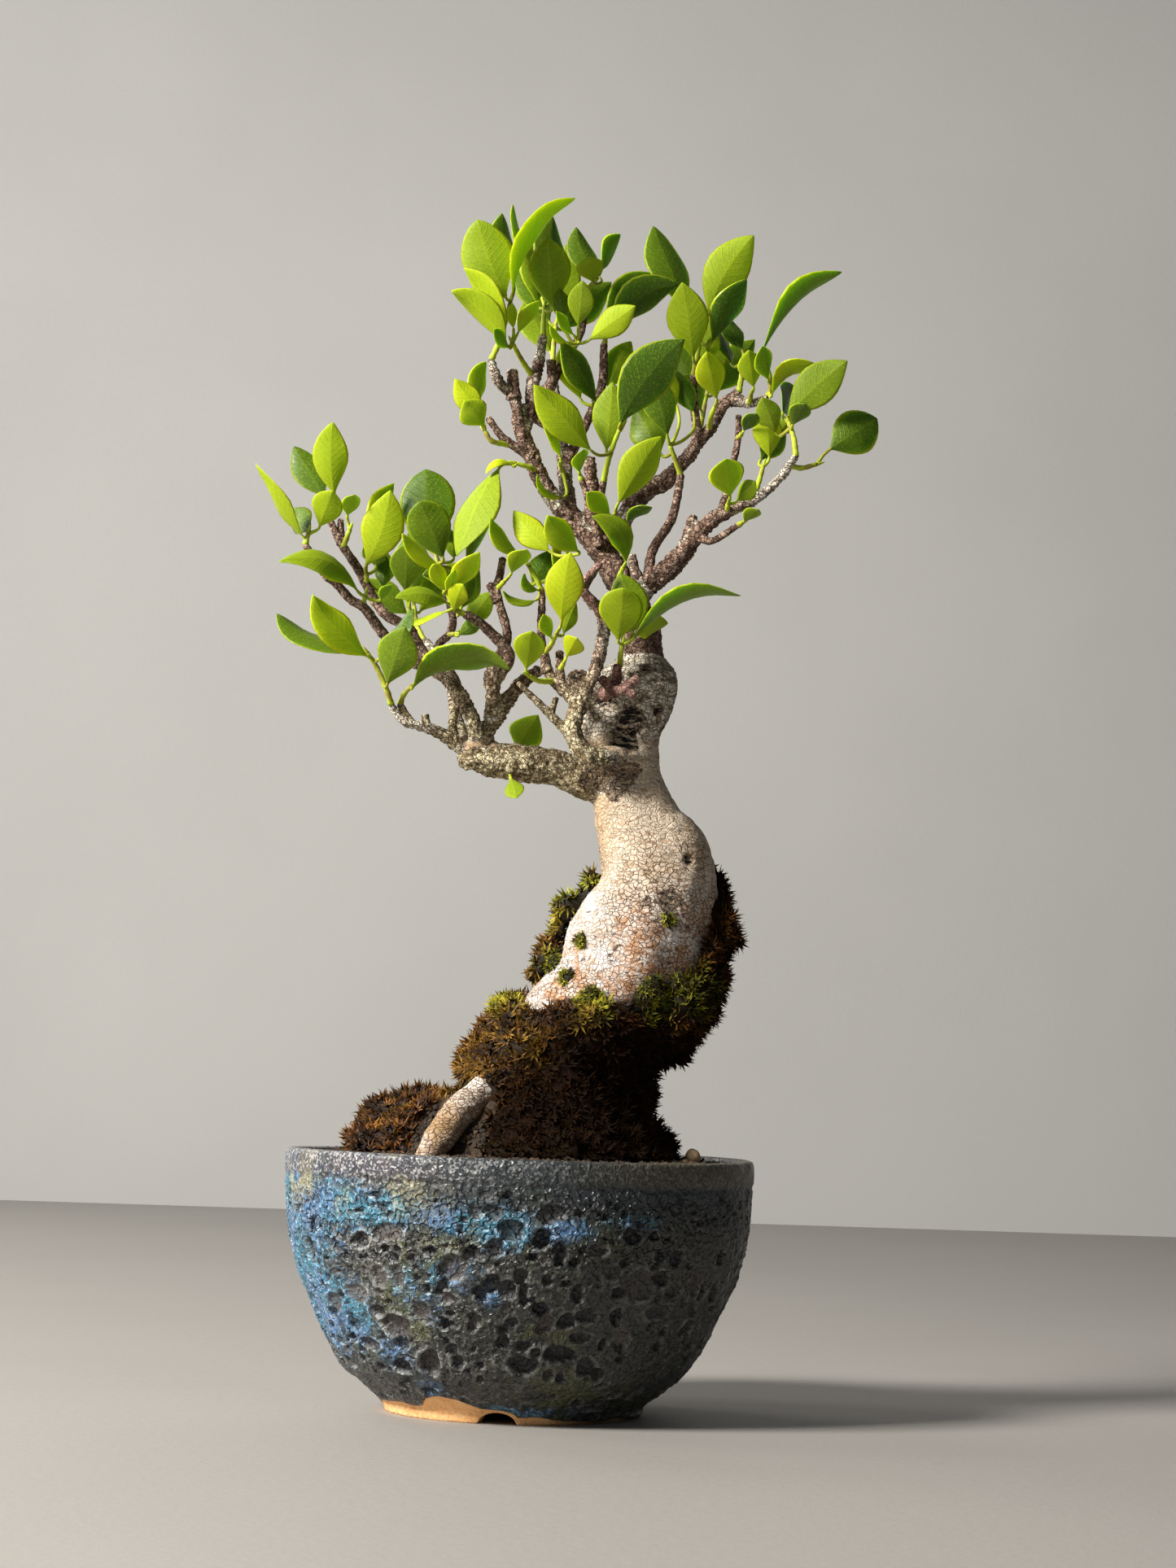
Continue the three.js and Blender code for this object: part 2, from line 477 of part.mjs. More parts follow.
// Leaf: [base x, base z, base y, tip x, tip z, tip y, width seen, sideways bow, turn]
// A leaf seen narrower than its true width is turned about its length, to the left for turn 1
// and to the right for turn -1.
const shoots = {
  leaves_left_01: {
    age: 'mature', stem: [[-77.5, 279, -20], [-76.6, 283, -20.5]],
    leaves: [
      [-78.6, 283.3, -21, -91.5, 306, -28, 6, 1.5, 1],
      [-73.1, 285, -22, -69, 297.6, -32, 9.5, 0, 1],
      [-76, 283.4, -17, -82.5, 290, -3, 8, 0, -1],
    ],
  },
  leaves_left_02: {
    age: 'young', stem: [[-70, 288, 6], [-70, 293.5, 6]],
    leaves: [
      [-68.5, 296, 5, -70, 320, 0, 11, 1, 1],
      [-71.5, 295, 8, -82.3, 311, 15, 10, 0, 1],
    ],
  },
  leaves_left_03: {
    age: 'young', stem: [[-65, 278.5, 4.5], [-63, 284.5, 0]],
    leaves: [[-64, 289, -1, -62, 296.7, -12, 5, 0, 1]],
  },
  leaves_left_04: {
    age: 'young', stem: [[-56.8, 266, 3], [-57, 270, 0]],
    leaves: [
      [-57.3, 272.5, -2, -50.3, 297.8, -8, 13, -1.5, 1],
      [-54, 272.5, 4, -55, 281, 18, 8, 0, 1],
    ],
  },
  leaves_left_05: {
    age: 'mature', stem: [[-57.7, 259, -13], [-57.2, 262.5, -14]],
    leaves: [
      [-59.7, 264.2, -15, -85.6, 271.8, -32, 8, -6, 1],
      [-52, 261.5, -14, -48.8, 267, -22, 2.5, 0, 1],
    ],
  },
  leaves_left_06: {
    age: 'mature', stem: [[-47.2, 227, -16], [-49, 232, -18], [-53, 240, -19], [-55.5, 243.5, -19]],
    leaves: [
      [-48.8, 233.5, -22, -43.4, 253, -32, 12.5, 0, 1],
      [-57, 245, -21, -75, 261, -34, 10, 1, 1],
      [-58.8, 246, -17, -86.3, 253.8, -10, 8, 1, -1],
      [-51, 243, -22, -40.6, 258.3, -20, 6, 0, -1],
    ],
  },
  leaves_left_07: {
    age: 'mature', stem: [[-44.4, 227, -14], [-43.2, 230.5, -14], [-40.5, 233.5, -15]],
    leaves: [[-38.5, 235, -17, -7.4, 240.6, -38, 8, 9, -1]],
  },
  leaves_left_08: {
    age: 'mature', stem: [[-42.6, 252.5, -1], [-42.5, 259, -4]],
    leaves: [[-44, 264.5, -5, -43.8, 281, -14, 10.6, 0, 1]],
  },
  leaves_left_09: {
    age: 'young', stem: [[-24, 257.5, -14], [-27, 259, -15], [-29.5, 263, -16.5], [-31, 269, -17]],
    leaves: [
      [-30.2, 265.6, -19, -20, 278.6, -28, 11, 2, 1],
      [-28, 260, -18, -24.6, 267.7, -31, 8, 0, 1],
      [-25.4, 260, -12, -22.5, 273.5, -8, 6, 0, 1],
      [-31.6, 272, -17, -46.4, 283, -25, 6.5, 0, 1],
      [-30, 261, -19, -47, 261.4, -32, 6.5, -2.5, 1],
      [-30, 258.4, -15, -43, 253.5, -10, 3, 0, 1],
      [-31.4, 265, -13, -36, 272, 2, 5, 0, 1],
    ],
  },
  leaves_left_10: {
    age: 'mature', stem: [[-33, 272, 16], [-34.5, 277.5, 17]],
    leaves: [
      [-40, 283, 18, -36, 304, 24, 14, 0, 1],
      [-32, 278, 13, -43.3, 293.3, 7, 12, 0, 1],
      [-28.5, 276, 17, -30, 285, 28, 6, 0, 1],
      [-26, 277, 18, -14, 297, 24, 4, 0, 1],
    ],
  },
  leaves_left_11: {
    age: 'young', stem: [[-1.8, 306, 4], [-5, 307.3, 1], [-9, 308.4, -1]],
    leaves: [[-12, 308, -2, -26, 276, -12, 12, -3, 1]],
  },
  leaves_left_12: {
    age: 'young', stem: [[-11.5, 314.5, 2], [-17.6, 315.8, -2], [-19.8, 319, -3]],
    leaves: [
      [-20, 320.5, -4, -27, 328.8, -9, 9.5, 0, 1],
      [-21, 323, 1, -30.3, 335.9, -2, 8, 0, 1],
      [-22.5, 327, 5, -20.6, 342, 9, 5.5, 1, 1],
    ],
  },
  leaves_left_13: {
    age: 'mature', stem: [[-29.3, 250.5, 6], [-27, 251, 1]],
    leaves: [[-26, 250.5, -1, -18.5, 256.5, -6, 5, 0, 1]],
  },
  leaves_left_15: {
    age: 'mature', stem: [[-7, 212, -2], [-6.6, 213, 5]],
    leaves: [[-6, 214, 8, 0.7, 224.5, 20, 11, 0, 1]],
  },
  leaves_left_16: {
    age: 'mature', stem: [[-8, 209.5, -6], [-7.5, 205, -9]],
    leaves: [[-7.2, 204, -10, -5, 197, -20, 6, 0, 1]],
  },
  leaves_left_18: {
    age: 'young', stem: [[-13.7, 266.5, -4.2], [-11.5, 269, -8]],
    leaves: [[-9.4, 271.6, -11, -4.6, 280.4, -24, 5.5, 0, 1]],
  },
  leaves_middle_01: {
    age: 'mature', stem: [[0.9, 265.6, -12], [-0.5, 269, -13], [-3.5, 274, -14]],
    leaves: [
      [-5, 277, -15, -17, 289.5, -21, 6, 0, 1],
      [-2.5, 268.5, -9, 3.2, 279.3, -3, 8, 0, 1],
      [-2, 266.5, -14, -7, 270.4, -26, 3.5, 0, 1],
    ],
  },
  leaves_middle_02: {
    age: 'young', stem: [[10, 276.5, -14], [9, 278.5, -16]],
    leaves: [
      [12.5, 280.5, -19, 1.6, 291, -28, 9.5, 0, 1],
      [3, 279.3, -12, -8.8, 292, -8, 9.5, 0, 1],
    ],
  },
  leaves_middle_03: {
    age: 'young', stem: [[2.5, 246, -12.6], [4.3, 248, -17], [6, 252, -23]],
    leaves: [
      [7.9, 256.3, -27, 9.7, 279.2, -34, 13.4, 0, 1],
      [4.4, 252, -20, 3, 260, -27, 5, 0, 1],
    ],
  },
  leaves_middle_04: {
    age: 'young', stem: [[7.6, 240, -13], [8.8, 242.5, -17]],
    leaves: [
      [9.6, 244.5, -19, 13.2, 251.5, -33, 7, 0, 1],
    ],
  },
  leaves_middle_05: {
    age: 'young', stem: [[5.5, 236.3, -14], [0.5, 236.4, -20], [-2.5, 238, -23]],
    leaves: [[-3.5, 240, -24, -2, 253.1, -36, 9.5, 0, 1]],
  },
  leaves_middle_06: {
    age: 'young', stem: [[27.2, 242, -14], [27.4, 246, -17], [28, 249.5, -19]],
    leaves: [
      [26.6, 251.5, -22, 28.6, 268.1, -32, 13.5, 0, 1],
      [29.4, 253, -15, 27, 272, -8, 12, 0, 1],
      [31, 251, -21, 66.4, 268.6, -36, 7, 6, -1],
      [32.5, 252.5, -14, 42, 257, -2, 4, 0, 1],
    ],
  },
  leaves_middle_07: {
    age: 'young', stem: [[24.5, 287.5, 6], [24.2, 291, -1], [24.2, 293, -5]],
    leaves: [
      [22.6, 292, -8, 14.3, 299.6, -17, 6.5, 0, 1],
      [25, 296, -8, 38.1, 319, -13, 11, 0, 1],
      [28, 290.5, -3, 36.1, 295.4, -12, 3.5, 0, 1],
    ],
  },
  leaves_middle_08: {
    age: 'mature', stem: [[26, 270.5, 4], [26.5, 272.5, -5], [27.5, 275, -9]],
    leaves: [[28, 277, -10, 16.6, 290.8, -18, 9, -4, 1]],
  },
  leaves_middle_09: {
    age: 'young', stem: [[12.8, 303.5, -2], [12.2, 305, -3]],
    leaves: [[12, 306, -4, 12.6, 314.2, -16, 4.5, 0, 1]],
  },
  leaves_middle_10: {
    age: 'young', stem: [[6.9, 305, 11], [5.6, 308, 5]],
    leaves: [[5.6, 310.8, 3, -1.3, 321.5, -4, 4.5, 0, 1]],
  },
  leaves_middle_11: {
    age: 'mature', stem: [[20, 303, 1], [21, 309, -2], [23, 316, -5], [24.8, 321, -8]],
    leaves: [
      [15.5, 313.5, -10, -4.3, 334.3, -16, 12, 0, 1],
      [20.6, 313.5, -4, 22, 336.3, -5, 10.8, 0, 1],
      [25.8, 324.1, -10, 45, 351.8, -18, 15, 0, 1],
    ],
  },
  leaves_middle_12: {
    age: 'mature', stem: [[16, 328, 9], [15.6, 329, 4]],
    leaves: [
      [15.6, 330.5, 2, 3.5, 349.5, -6, 10, 0, 1],
    ],
  },
  leaves_middle_13: {
    age: 'mature', stem: [[45.4, 306, 4], [43.5, 311, 2], [41.5, 316, 0]],
    leaves: [
      [40.8, 319.1, -2, 35.7, 340, -6, 10.5, 0, 1],
      [38.5, 313, 5, 29.7, 328.4, 12, 12, 0, 1],
    ],
  },
  leaves_crown_01: {
    age: 'young', stem: [[-18.4, 343, -4], [-16.4, 348, -5], [-14, 357, -6], [-12.6, 363.5, -7]],
    leaves: [
      [-15, 359, -8, -28.1, 373.5, -18, 7, 0, 1],
      [-13.8, 365.5, -9, -24.3, 389, -13, 14, 0, 1],
      [-12, 370, -3, -17.3, 391.9, 4, 7, 0, 1],
      [-11.2, 368.3, -10, 6.9, 399.9, -18, 6, 3, 1],
    ],
  },
  leaves_crown_02: {
    age: 'young', stem: [[-4, 337, 4], [-8, 342.5, -1], [-11.8, 349, -8]],
    leaves: [
      [-13.6, 352, -11, -33, 365, -20, 8, 0, 1],
      [-12.6, 347, -10, -18.3, 353, -20, 5, 0, 1],
      [-10, 352, -6, -3.4, 363.6, -12, 4, 0, 1],
    ],
  },
  leaves_crown_03: {
    age: 'mature', stem: [[-1.5, 351.5, 4], [-1.6, 356, 4], [-1.4, 361, 4]],
    leaves: [
      [1.1, 361, 0, -0.9, 384.3, -8, 13, 0, 1],
      [-3.8, 362, 7, -5.1, 384, 13, 9, 0, 1],
      [1.5, 368, 10, -3.4, 391.3, 20, 7, 0, 1],
      [-3, 366, 16, -14.5, 395, 18, 5, 0, 1],
    ],
  },
  leaves_crown_04: {
    age: 'mature', stem: [[12.4, 366.5, 2], [14, 369.5, 1]],
    leaves: [
      [14.2, 371, -1, 13.4, 378.2, -13, 9, 0, 1],
      [15.6, 371.5, 5, 7.7, 388.5, 10, 9, 0, 1],
      [17, 374, 9, 22.3, 386.5, 18, 4, 0, 1],
    ],
  },
  leaves_crown_05: {
    age: 'young', stem: [[8.6, 348.5, 3], [10, 349.5, -4]],
    leaves: [
      [8.6, 352, -6, 2, 359.8, -14, 4.5, 0, 1],
      [13.7, 350.5, -6, 28.8, 362.5, -13, 9, 0, 1],
      [10, 355, -7, 11, 370.5, -14, 8, 0, 1],
    ],
  },
  leaves_crown_06: {
    age: 'mature', stem: [[18.7, 349, 8], [19.4, 352.5, 9]],
    leaves: [
      [20, 355, 12, 33, 375, 20, 12, 0, 1],
      [23, 354.5, 4, 40, 371, -2, 12, 0, 1],
    ],
  },
  leaves_right_01: {
    age: 'young', stem: [[48.7, 339.5, 14], [49.2, 344, 13], [50.5, 352, 13], [50.8, 360, 14]],
    leaves: [
      [48, 346, 8, 43.8, 370.8, 0, 13, 0, 1],
      [46.5, 368, 15, 33.5, 388.8, 21, 12, 0, 1],
      [52.4, 363.7, 12, 67.5, 386.9, 7, 13.5, 0, 1],
      [54.4, 351, 10, 64.8, 373, 1, 8, 0, 1],
    ],
  },
  leaves_right_02: {
    age: 'young', stem: [[54.3, 321.3, 12], [54.8, 326, 5], [56, 329.5, 2]],
    leaves: [[56.5, 332, 0, 52.4, 347.9, -9, 9.5, 0, 1]],
  },
  leaves_right_03: {
    age: 'young', stem: [[67.4, 331, 6], [67.8, 334, 1]],
    leaves: [[68.6, 336.3, -1, 66.5, 349, -9, 8, 0, 1]],
  },
  leaves_right_04: {
    age: 'mature', stem: [[63.8, 334.5, 9], [64.5, 340, 11], [65, 345, 12]],
    leaves: [
      [64.6, 348.5, 12, 57.5, 361, 18, 7, 0, 1],
      [61, 344, 17, 56, 357, 30, 6, 0, 1],
    ],
  },
  leaves_right_05: {
    age: 'young', stem: [[73.5, 333.6, 0], [74.3, 337, -1], [72.6, 345, -2]],
    leaves: [
      [71.7, 349.2, -2, 96.3, 377.3, -12, 6, -2, -1],
      [73.4, 339, -6, 70.6, 350.5, -18, 6.5, 0, 1],
      [77.5, 337, -4, 88.6, 345.9, -14, 3.5, 0, 1],
    ],
  },
  leaves_right_06: {
    age: 'mature', stem: [[83.2, 313.6, -16], [82.3, 320, -13], [80.5, 325, -11]],
    leaves: [
      [81, 328.4, -10, 99.6, 345.5, -17, 11.5, 0, 1],
      [78.4, 328, -9, 81, 337, 8, 5, 0, 1],
      [81.8, 324, -15, 86, 332, -28, 6, 0, 1],
    ],
  },
  leaves_right_07: {
    age: 'mature', stem: [[81.3, 310.6, -15.2], [85, 309.8, -14], [90, 311.2, -12]],
    leaves: [[95.5, 314.6, -10, 108.1, 325, -3, 12, 0, 1]],
  },
  leaves_right_08: {
    age: 'young', stem: [[61, 294.2, -12], [61.2, 297, -16]],
    leaves: [
      [61.8, 299.5, -18, 59.6, 312.4, -31, 11, 0, 1],
      [64, 298, -16, 70.5, 305, -25, 6, 0, -1],
    ],
  },
  leaves_right_09: {
    age: 'mature', stem: [[68.9, 298, -13], [71, 304, -9], [72.5, 310, -7]],
    leaves: [
      [74.4, 313, -7, 73, 329, -12, 9, 0, 1],
      [71.5, 312, -2, 79, 323, 8, 8, 0, 1],
    ],
  },
  leaves_right_10: {
    age: 'mature', stem: [[63.9, 319, -2], [65, 320.5, -6]],
    leaves: [[65.6, 321.5, -8, 70, 328, -18, 4.5, 0, 1]],
  },
  leaves_right_11: {
    age: 'young', stem: [[64.7, 290, -14], [66.2, 291, -14.5]],
    leaves: [[66.6, 291.4, -15, 71.5, 296, -25, 3.5, 0, 1]],
  },
  leaves_back_01: {
    age: 'mature', stem: [[50.6, 318, 44], [52, 326, 46], [53, 333, 47]],
    leaves: [
      [50.5, 330, 48, 42, 350, 54, 12, 0, 1],
      [54, 336, 46, 54, 360, 42, 12, 0, 1],
      [55.5, 334, 50, 68, 352, 58, 11, 0, 1],
      [51.5, 328, 42, 45, 340, 28, 10, 0, 1],
    ],
  },
  leaves_back_02: {
    age: 'mature', stem: [[2, 340, 40], [2, 348, 42], [2.5, 355, 43]],
    leaves: [
      [0.5, 356, 43, -10, 378, 48, 12, 0, 1],
      [3, 358, 42, 5, 382, 38, 12, 0, 1],
      [5, 354, 45, 20, 370, 52, 11, 0, 1],
      [1, 346, 46, -8, 362, 60, 11, 0, 1],
    ],
  },
  leaves_back_03: {
    age: 'mature', stem: [[-37, 248, 40], [-40, 254, 42], [-41, 260, 43]],
    leaves: [
      [-41.5, 263, 43, -43, 284, 47, 12, 0, 1],
      [-39, 258, 46, -28, 274, 56, 11, 0, 1],
      [-43, 257, 41, -58, 268, 38, 10, 0, 1],
    ],
  },
};

// [share of the blade's length, share of its width]
const bladeRows = [[0, 0.08], [0.26, 0.76], [0.58, 1], [0.88, 0.56]];

function makeLeaf(row, stem) {
  const [x0, z0, y0, x1, z1, y1, seen, bow, turn] = row;
  const base = at(x0, z0, y0);
  const tip = at(x1, z1, y1);
  const length = base.distanceTo(tip);
  const width = Math.max(seen, length * WIDTH_TO_LENGTH);
  const twist = turn * Math.acos(Math.min(1, seen / width));
  const reach = Math.hypot(x1 - x0, z1 - z0);
  const bowAway = new THREE.Vector3(-(z1 - z0) / reach, 0, (x1 - x0) / reach);
  const arch = length * 0.05;

  const spine = (t) => {
    const hump = 4 * t * (1 - t);
    return base.clone().lerp(tip, t).addScaledVector(bowAway, bow * hump)
      .add(new THREE.Vector3(0, -arch * hump, 0));
  };
  const heading = (t) => spine(Math.min(t + 0.02, 1)).sub(spine(Math.max(t - 0.02, 0))).normalize();
  const frame = (along) => {
    const flat = new THREE.Vector3(0, 1, 0).cross(along).normalize();
    const deep = new THREE.Vector3().crossVectors(along, flat);
    const across = flat.multiplyScalar(Math.cos(twist)).addScaledVector(deep, Math.sin(twist));
    return { across, up: new THREE.Vector3().crossVectors(along, across) };
  };

  const root = nearestOn(stem, base);
  const petiole = base.clone().sub(root).normalize();
  const rings = [rhombus(root, frame(petiole), PETIOLE_RADIUS, PETIOLE_RADIUS, 0)];
  for (const [t, share] of bladeRows) {
    const half = (width / 2) * share;
    const turned = t === 0 ? heading(0).add(petiole).normalize() : heading(t);
    const thick = BLADE_THICKNESS / 2 + (t === 0 ? 0.15 : 0);
    rings.push(rhombus(spine(t), frame(turned), half, thick, t === 0 ? 0 : half * FOLD));
  }
  return loft(rings, tip);
}

function rhombus(centre, { across, up }, half, thick, lift) {
  return [
    centre.clone().addScaledVector(across, half).addScaledVector(up, lift),
    centre.clone().addScaledVector(up, thick),
    centre.clone().addScaledVector(across, -half).addScaledVector(up, lift),
    centre.clone().addScaledVector(up, -thick),
  ];
}

function nearestOn(stem, point) {
  let best = null;
  for (let i = 0; i + 1 < stem.length; i += 1) {
    const line = new THREE.Line3(stem[i], stem[i + 1]);
    const near = line.closestPointToPoint(point, true, new THREE.Vector3());
    if (!best || near.distanceTo(point) < best.distanceTo(point)) {
      best = near;
    }
  }
  const last = stem[stem.length - 1];
  if (best.distanceTo(last) < 0.4) {
    best.lerp(stem[stem.length - 2], 0.12);
  }
  if (best.distanceTo(stem[0]) < STEM_CLEAR) {
    best.copy(stem[1]).sub(stem[0]).setLength(STEM_CLEAR).add(stem[0]);
  }
  return best;
}

function makeShoot({ stem, leaves }, woodGrown) {
  const line = stem.map(([x, z, y]) => at(x, z, y));
  const stalk = limb(stem.map((p, i) => [...p, i === 0 ? 2 : 1.7]), 5, 1, 0);
  return join([stalk, ...leaves.map((row) => makeLeaf(row, line))]).subtract(woodGrown);
}

// ---------- assembly ----------

const group = new THREE.Group();
group.name = 'bonsai_in_pot';

function addPiece(name, solid, color, roughness, metalness = 0) {
  const material = new THREE.MeshStandardMaterial({ color, roughness, metalness });
  const mesh = new THREE.Mesh(geometryOf(solid), material);
  mesh.name = name;
  group.add(mesh);
}

const wood = makeWood(0);
const woodGrown = makeWood(GAP);

addPiece('pot', makePot(), '#5b6064', 0.42);
addPiece('drainage_mesh', makeScreen(), '#20221f', 0.6);
addPiece('mesh_staple', makeStaple(), '#8d8f90', 0.35, 1);
addPiece('soil', makeSoil(0, woodGrown), '#3a2a1d', 0.95);
addPiece('tree_wood', wood, '#b79a78', 0.85);

const soilGrown = makeSoil(GAP, null);
let taken = soilGrown.add(woodGrown);
for (const [name, rows] of Object.entries(mossRows)) {
  addPiece(name, stack(rows, 18, 0.05, 0).subtract(taken), '#5d5222', 0.95);
  taken = taken.add(stack(rows, 18, 0.05, GAP));
}

const pebble = new THREE.SphereGeometry(2.2, 12, 8);
pebble.scale(1.1, 1, 0.85);
pebble.translate(55.4, -8, SOIL_BED_Z + GAP + 2);
addPiece('pebble', solidOf(pebble), '#b99566', 0.8);

const leafColors = { young: '#b7c832', mature: '#3f7020' };
for (const [name, shoot] of Object.entries(shoots)) {
  addPiece(name, makeShoot(shoot, woodGrown), leafColors[shoot.age], 0.45);
}

// The finished part stands on z = 0 with the middle of its bounding box at x = y = 0.
const box = new THREE.Box3().setFromObject(group);
group.position.set(-(box.min.x + box.max.x) / 2, -(box.min.y + box.max.y) / 2, -box.min.z);
group.updateMatrixWorld(true);

export default group;
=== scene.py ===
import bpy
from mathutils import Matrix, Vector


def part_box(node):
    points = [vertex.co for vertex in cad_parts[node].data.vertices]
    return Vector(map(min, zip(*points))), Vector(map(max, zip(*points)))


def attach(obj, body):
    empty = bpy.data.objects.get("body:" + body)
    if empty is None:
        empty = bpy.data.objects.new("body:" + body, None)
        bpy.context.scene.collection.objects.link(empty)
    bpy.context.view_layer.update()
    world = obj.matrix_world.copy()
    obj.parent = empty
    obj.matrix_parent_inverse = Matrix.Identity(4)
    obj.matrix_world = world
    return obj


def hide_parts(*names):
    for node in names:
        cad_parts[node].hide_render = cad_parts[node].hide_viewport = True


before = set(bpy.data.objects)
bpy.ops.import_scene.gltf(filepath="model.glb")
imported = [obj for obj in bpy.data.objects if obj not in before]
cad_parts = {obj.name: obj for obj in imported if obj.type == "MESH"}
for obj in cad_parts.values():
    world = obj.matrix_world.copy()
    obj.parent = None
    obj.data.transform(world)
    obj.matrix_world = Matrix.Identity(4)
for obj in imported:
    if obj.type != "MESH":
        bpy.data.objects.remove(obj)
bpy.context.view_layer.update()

import math
import bmesh
import bpy
import numpy as np
from mathutils import Matrix, Vector, noise
from mathutils.bvhtree import BVHTree
from mathutils.kdtree import KDTree

# A small fig tree in a round pot with a pitted crater glaze.
# Lists are in millimetres in the pot's own frame: x = y = 0 on its axis, z = 0 at its foot, front at -y.

potLow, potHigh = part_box("pot")
potAxis = np.array([(potLow.x + potHigh.x) / 2, (potLow.y + potHigh.y) / 2, potLow.z])

view = dict(x=18.0, z=104.3, distance=1032.6, pitch=5.453, roll=1.807, lens=72.86, sensor=36.0)
eye = Vector(potAxis + np.array([view["x"], -view["distance"], view["z"]]) * 0.001)


def at(x, z, y=0.0):  # a point drawn on the plane y = 0, carried along its line of sight to depth y
    k = 1 + y / view["distance"]
    return np.array([view["x"] + (x - view["x"]) * k, y, view["z"] + (z - view["z"]) * k])


def drawnAt(x, y, z):  # where a point stands as drawn: across, up
    k = 1 + y / view["distance"]
    return view["x"] + (x - view["x"]) / k, view["z"] + (z - view["z"]) / k


def lookUp(value, rows):
    return np.interp(value, [r[0] for r in rows], [r[1] for r in rows])


def unit(v):
    return v / max(np.linalg.norm(v), 1e-9)


def smoothStep(x, low, high):
    t = np.clip((x - low) / (high - low), 0, 1)
    return t * t * (3 - 2 * t)


def lengthAlong(line):  # distance travelled at each point of a line
    return np.concatenate([[0], np.cumsum(np.linalg.norm(np.diff(line, axis=0), axis=1))])


def addObject(name, mesh):
    piece = bpy.data.objects.new(name, mesh)
    bpy.context.scene.collection.objects.link(piece)
    return piece


def shadeSmooth(mesh):
    mesh.polygons.foreach_set("use_smooth", [True] * len(mesh.polygons))


def addMesh(name, points, faces, material=None, smooth=True):
    mesh = bpy.data.meshes.new(name)
    mesh.from_pydata((np.asarray(points) * 0.001 + potAxis).tolist(), [], faces)
    if smooth:
        shadeSmooth(mesh)
    mesh.update()
    if material:
        mesh.materials.append(material)
    return addObject(name, mesh)


def addAttributes(mesh, **fields):
    for name, values in fields.items():
        layer = mesh.attributes.new(name, "FLOAT", "POINT")
        layer.data.foreach_set("value", np.broadcast_to(values, len(mesh.vertices)).astype(np.float32))


def reshape(mesh, change):  # one bmesh change made on a mesh
    work = bmesh.new()
    work.from_mesh(mesh)
    change(work)
    work.to_mesh(mesh)
    work.free()


def meshPlaces(mesh):  # every point, in millimetres in the pot's frame
    co = np.empty(len(mesh.vertices) * 3, np.float32)
    mesh.vertices.foreach_get("co", co)
    return (co.reshape(-1, 3) - potAxis) * 1000


def claim(piece, slotName, *nodes):
    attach(piece, "root")
    if nodes:
        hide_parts(*nodes)


def triangles(piece):
    return sum(len(p.vertices) - 2 for p in piece.data.polygons)


def addModifier(piece, kind, **settings):
    modifier = piece.modifiers.new(kind.lower(), kind)
    for key, value in settings.items():
        setattr(modifier, key, value)


def bakeModifiers(piece):  # the evaluated result as a plain mesh
    graph = bpy.context.evaluated_depsgraph_get()
    result = bpy.data.meshes.new_from_object(piece.evaluated_get(graph), preserve_all_data_layers=True,
        depsgraph=graph)
    old = piece.data
    piece.modifiers.clear()
    piece.data = result
    bpy.data.meshes.remove(old)


def catmull(rows, steps):  # smooth curve through rows of numbers, by distance so that it never loops
    rows = np.asarray(rows, float)
    if len(rows) == 2:
        return np.array([rows[0] + (rows[1] - rows[0]) * i / steps for i in range(steps + 1)])
    ends = np.vstack([2 * rows[0] - rows[1], rows, 2 * rows[-1] - rows[-2]])
    knots = [0.0]
    for a, b in zip(ends[:-1], ends[1:]):
        knots.append(knots[-1] + max(np.linalg.norm((b - a)[:3]) ** 0.5, 1e-4))
    out = []
    for i in range(1, len(ends) - 2):
        p0, p1, p2, p3 = ends[i - 1:i + 3]
        t0, t1, t2, t3 = knots[i - 1:i + 3]
        for j in range(steps):
            t = t1 + (t2 - t1) * j / steps
            between = lambda a, b, low, high: a + (b - a) * (t - low) / (high - low)
            a1, a2, a3 = between(p0, p1, t0, t1), between(p1, p2, t1, t2), between(p2, p3, t2, t3)
            out.append(between(between(a1, a2, t0, t2), between(a2, a3, t1, t3), t1, t2))
    out.append(rows[-1])
    return np.array(out)


def ringFaces(rings, sides):  # a closed skin over rings of points
    faces = []
    for i in range(rings - 1):
        for j in range(sides):
            k = (j + 1) % sides
            faces.append((i * sides + j, i * sides + k, (i + 1) * sides + k, (i + 1) * sides + j))
    return faces + [tuple(reversed(range(sides))), tuple((rings - 1) * sides + j for j in range(sides))]


def sweep(path, radii, sides, roundEnd=0.0):  # closed round tube, faces out
    points, side = [], None
    turns = [2 * math.pi * j / sides for j in range(sides)]
    count = len(path)
    for i in range(count):
        along = unit(path[min(i + 1, count - 1)] - path[max(i - 1, 0)])
        seed = side if side is not None else np.array([1.0, 0, 0] if abs(along[2]) > 0.8 else [0, 0, 1.0])
        side = unit(seed - along * seed.dot(along))
        other = np.cross(along, side)
        points += [path[i] + (side * math.cos(a) + other * math.sin(a)) * radii[i] for a in turns]
    for drop, reach in ((0.8, 0.5), (0.45, 0.85)) if roundEnd else ():
        points += [path[-1] + along * radii[-1] * reach * roundEnd
            + (side * math.cos(a) + other * math.sin(a)) * radii[-1] * drop for a in turns]
        count += 1
    return points, ringFaces(count, sides)


def stackTube(rows, sides, wave=lambda a, z: 1.0):  # closed tube through level ovals: z, left, right, front, back
    points = []
    for z, left, right, front, back in rows:
        for j in range(sides):
            a = 2 * math.pi * j / sides
            points.append([(left + right) / 2 + math.cos(a) * (right - left) / 2 * wave(a, z),
                (front + back) / 2 + math.sin(a) * (back - front) / 2 * wave(a, z), z])
    return points, ringFaces(len(rows), sides)


def gather(parts):
    points, faces = [], []
    for p, f in parts:
        base = len(points)
        points.extend(p)
        faces.extend(tuple(i + base for i in face) for face in f)
    return points, faces


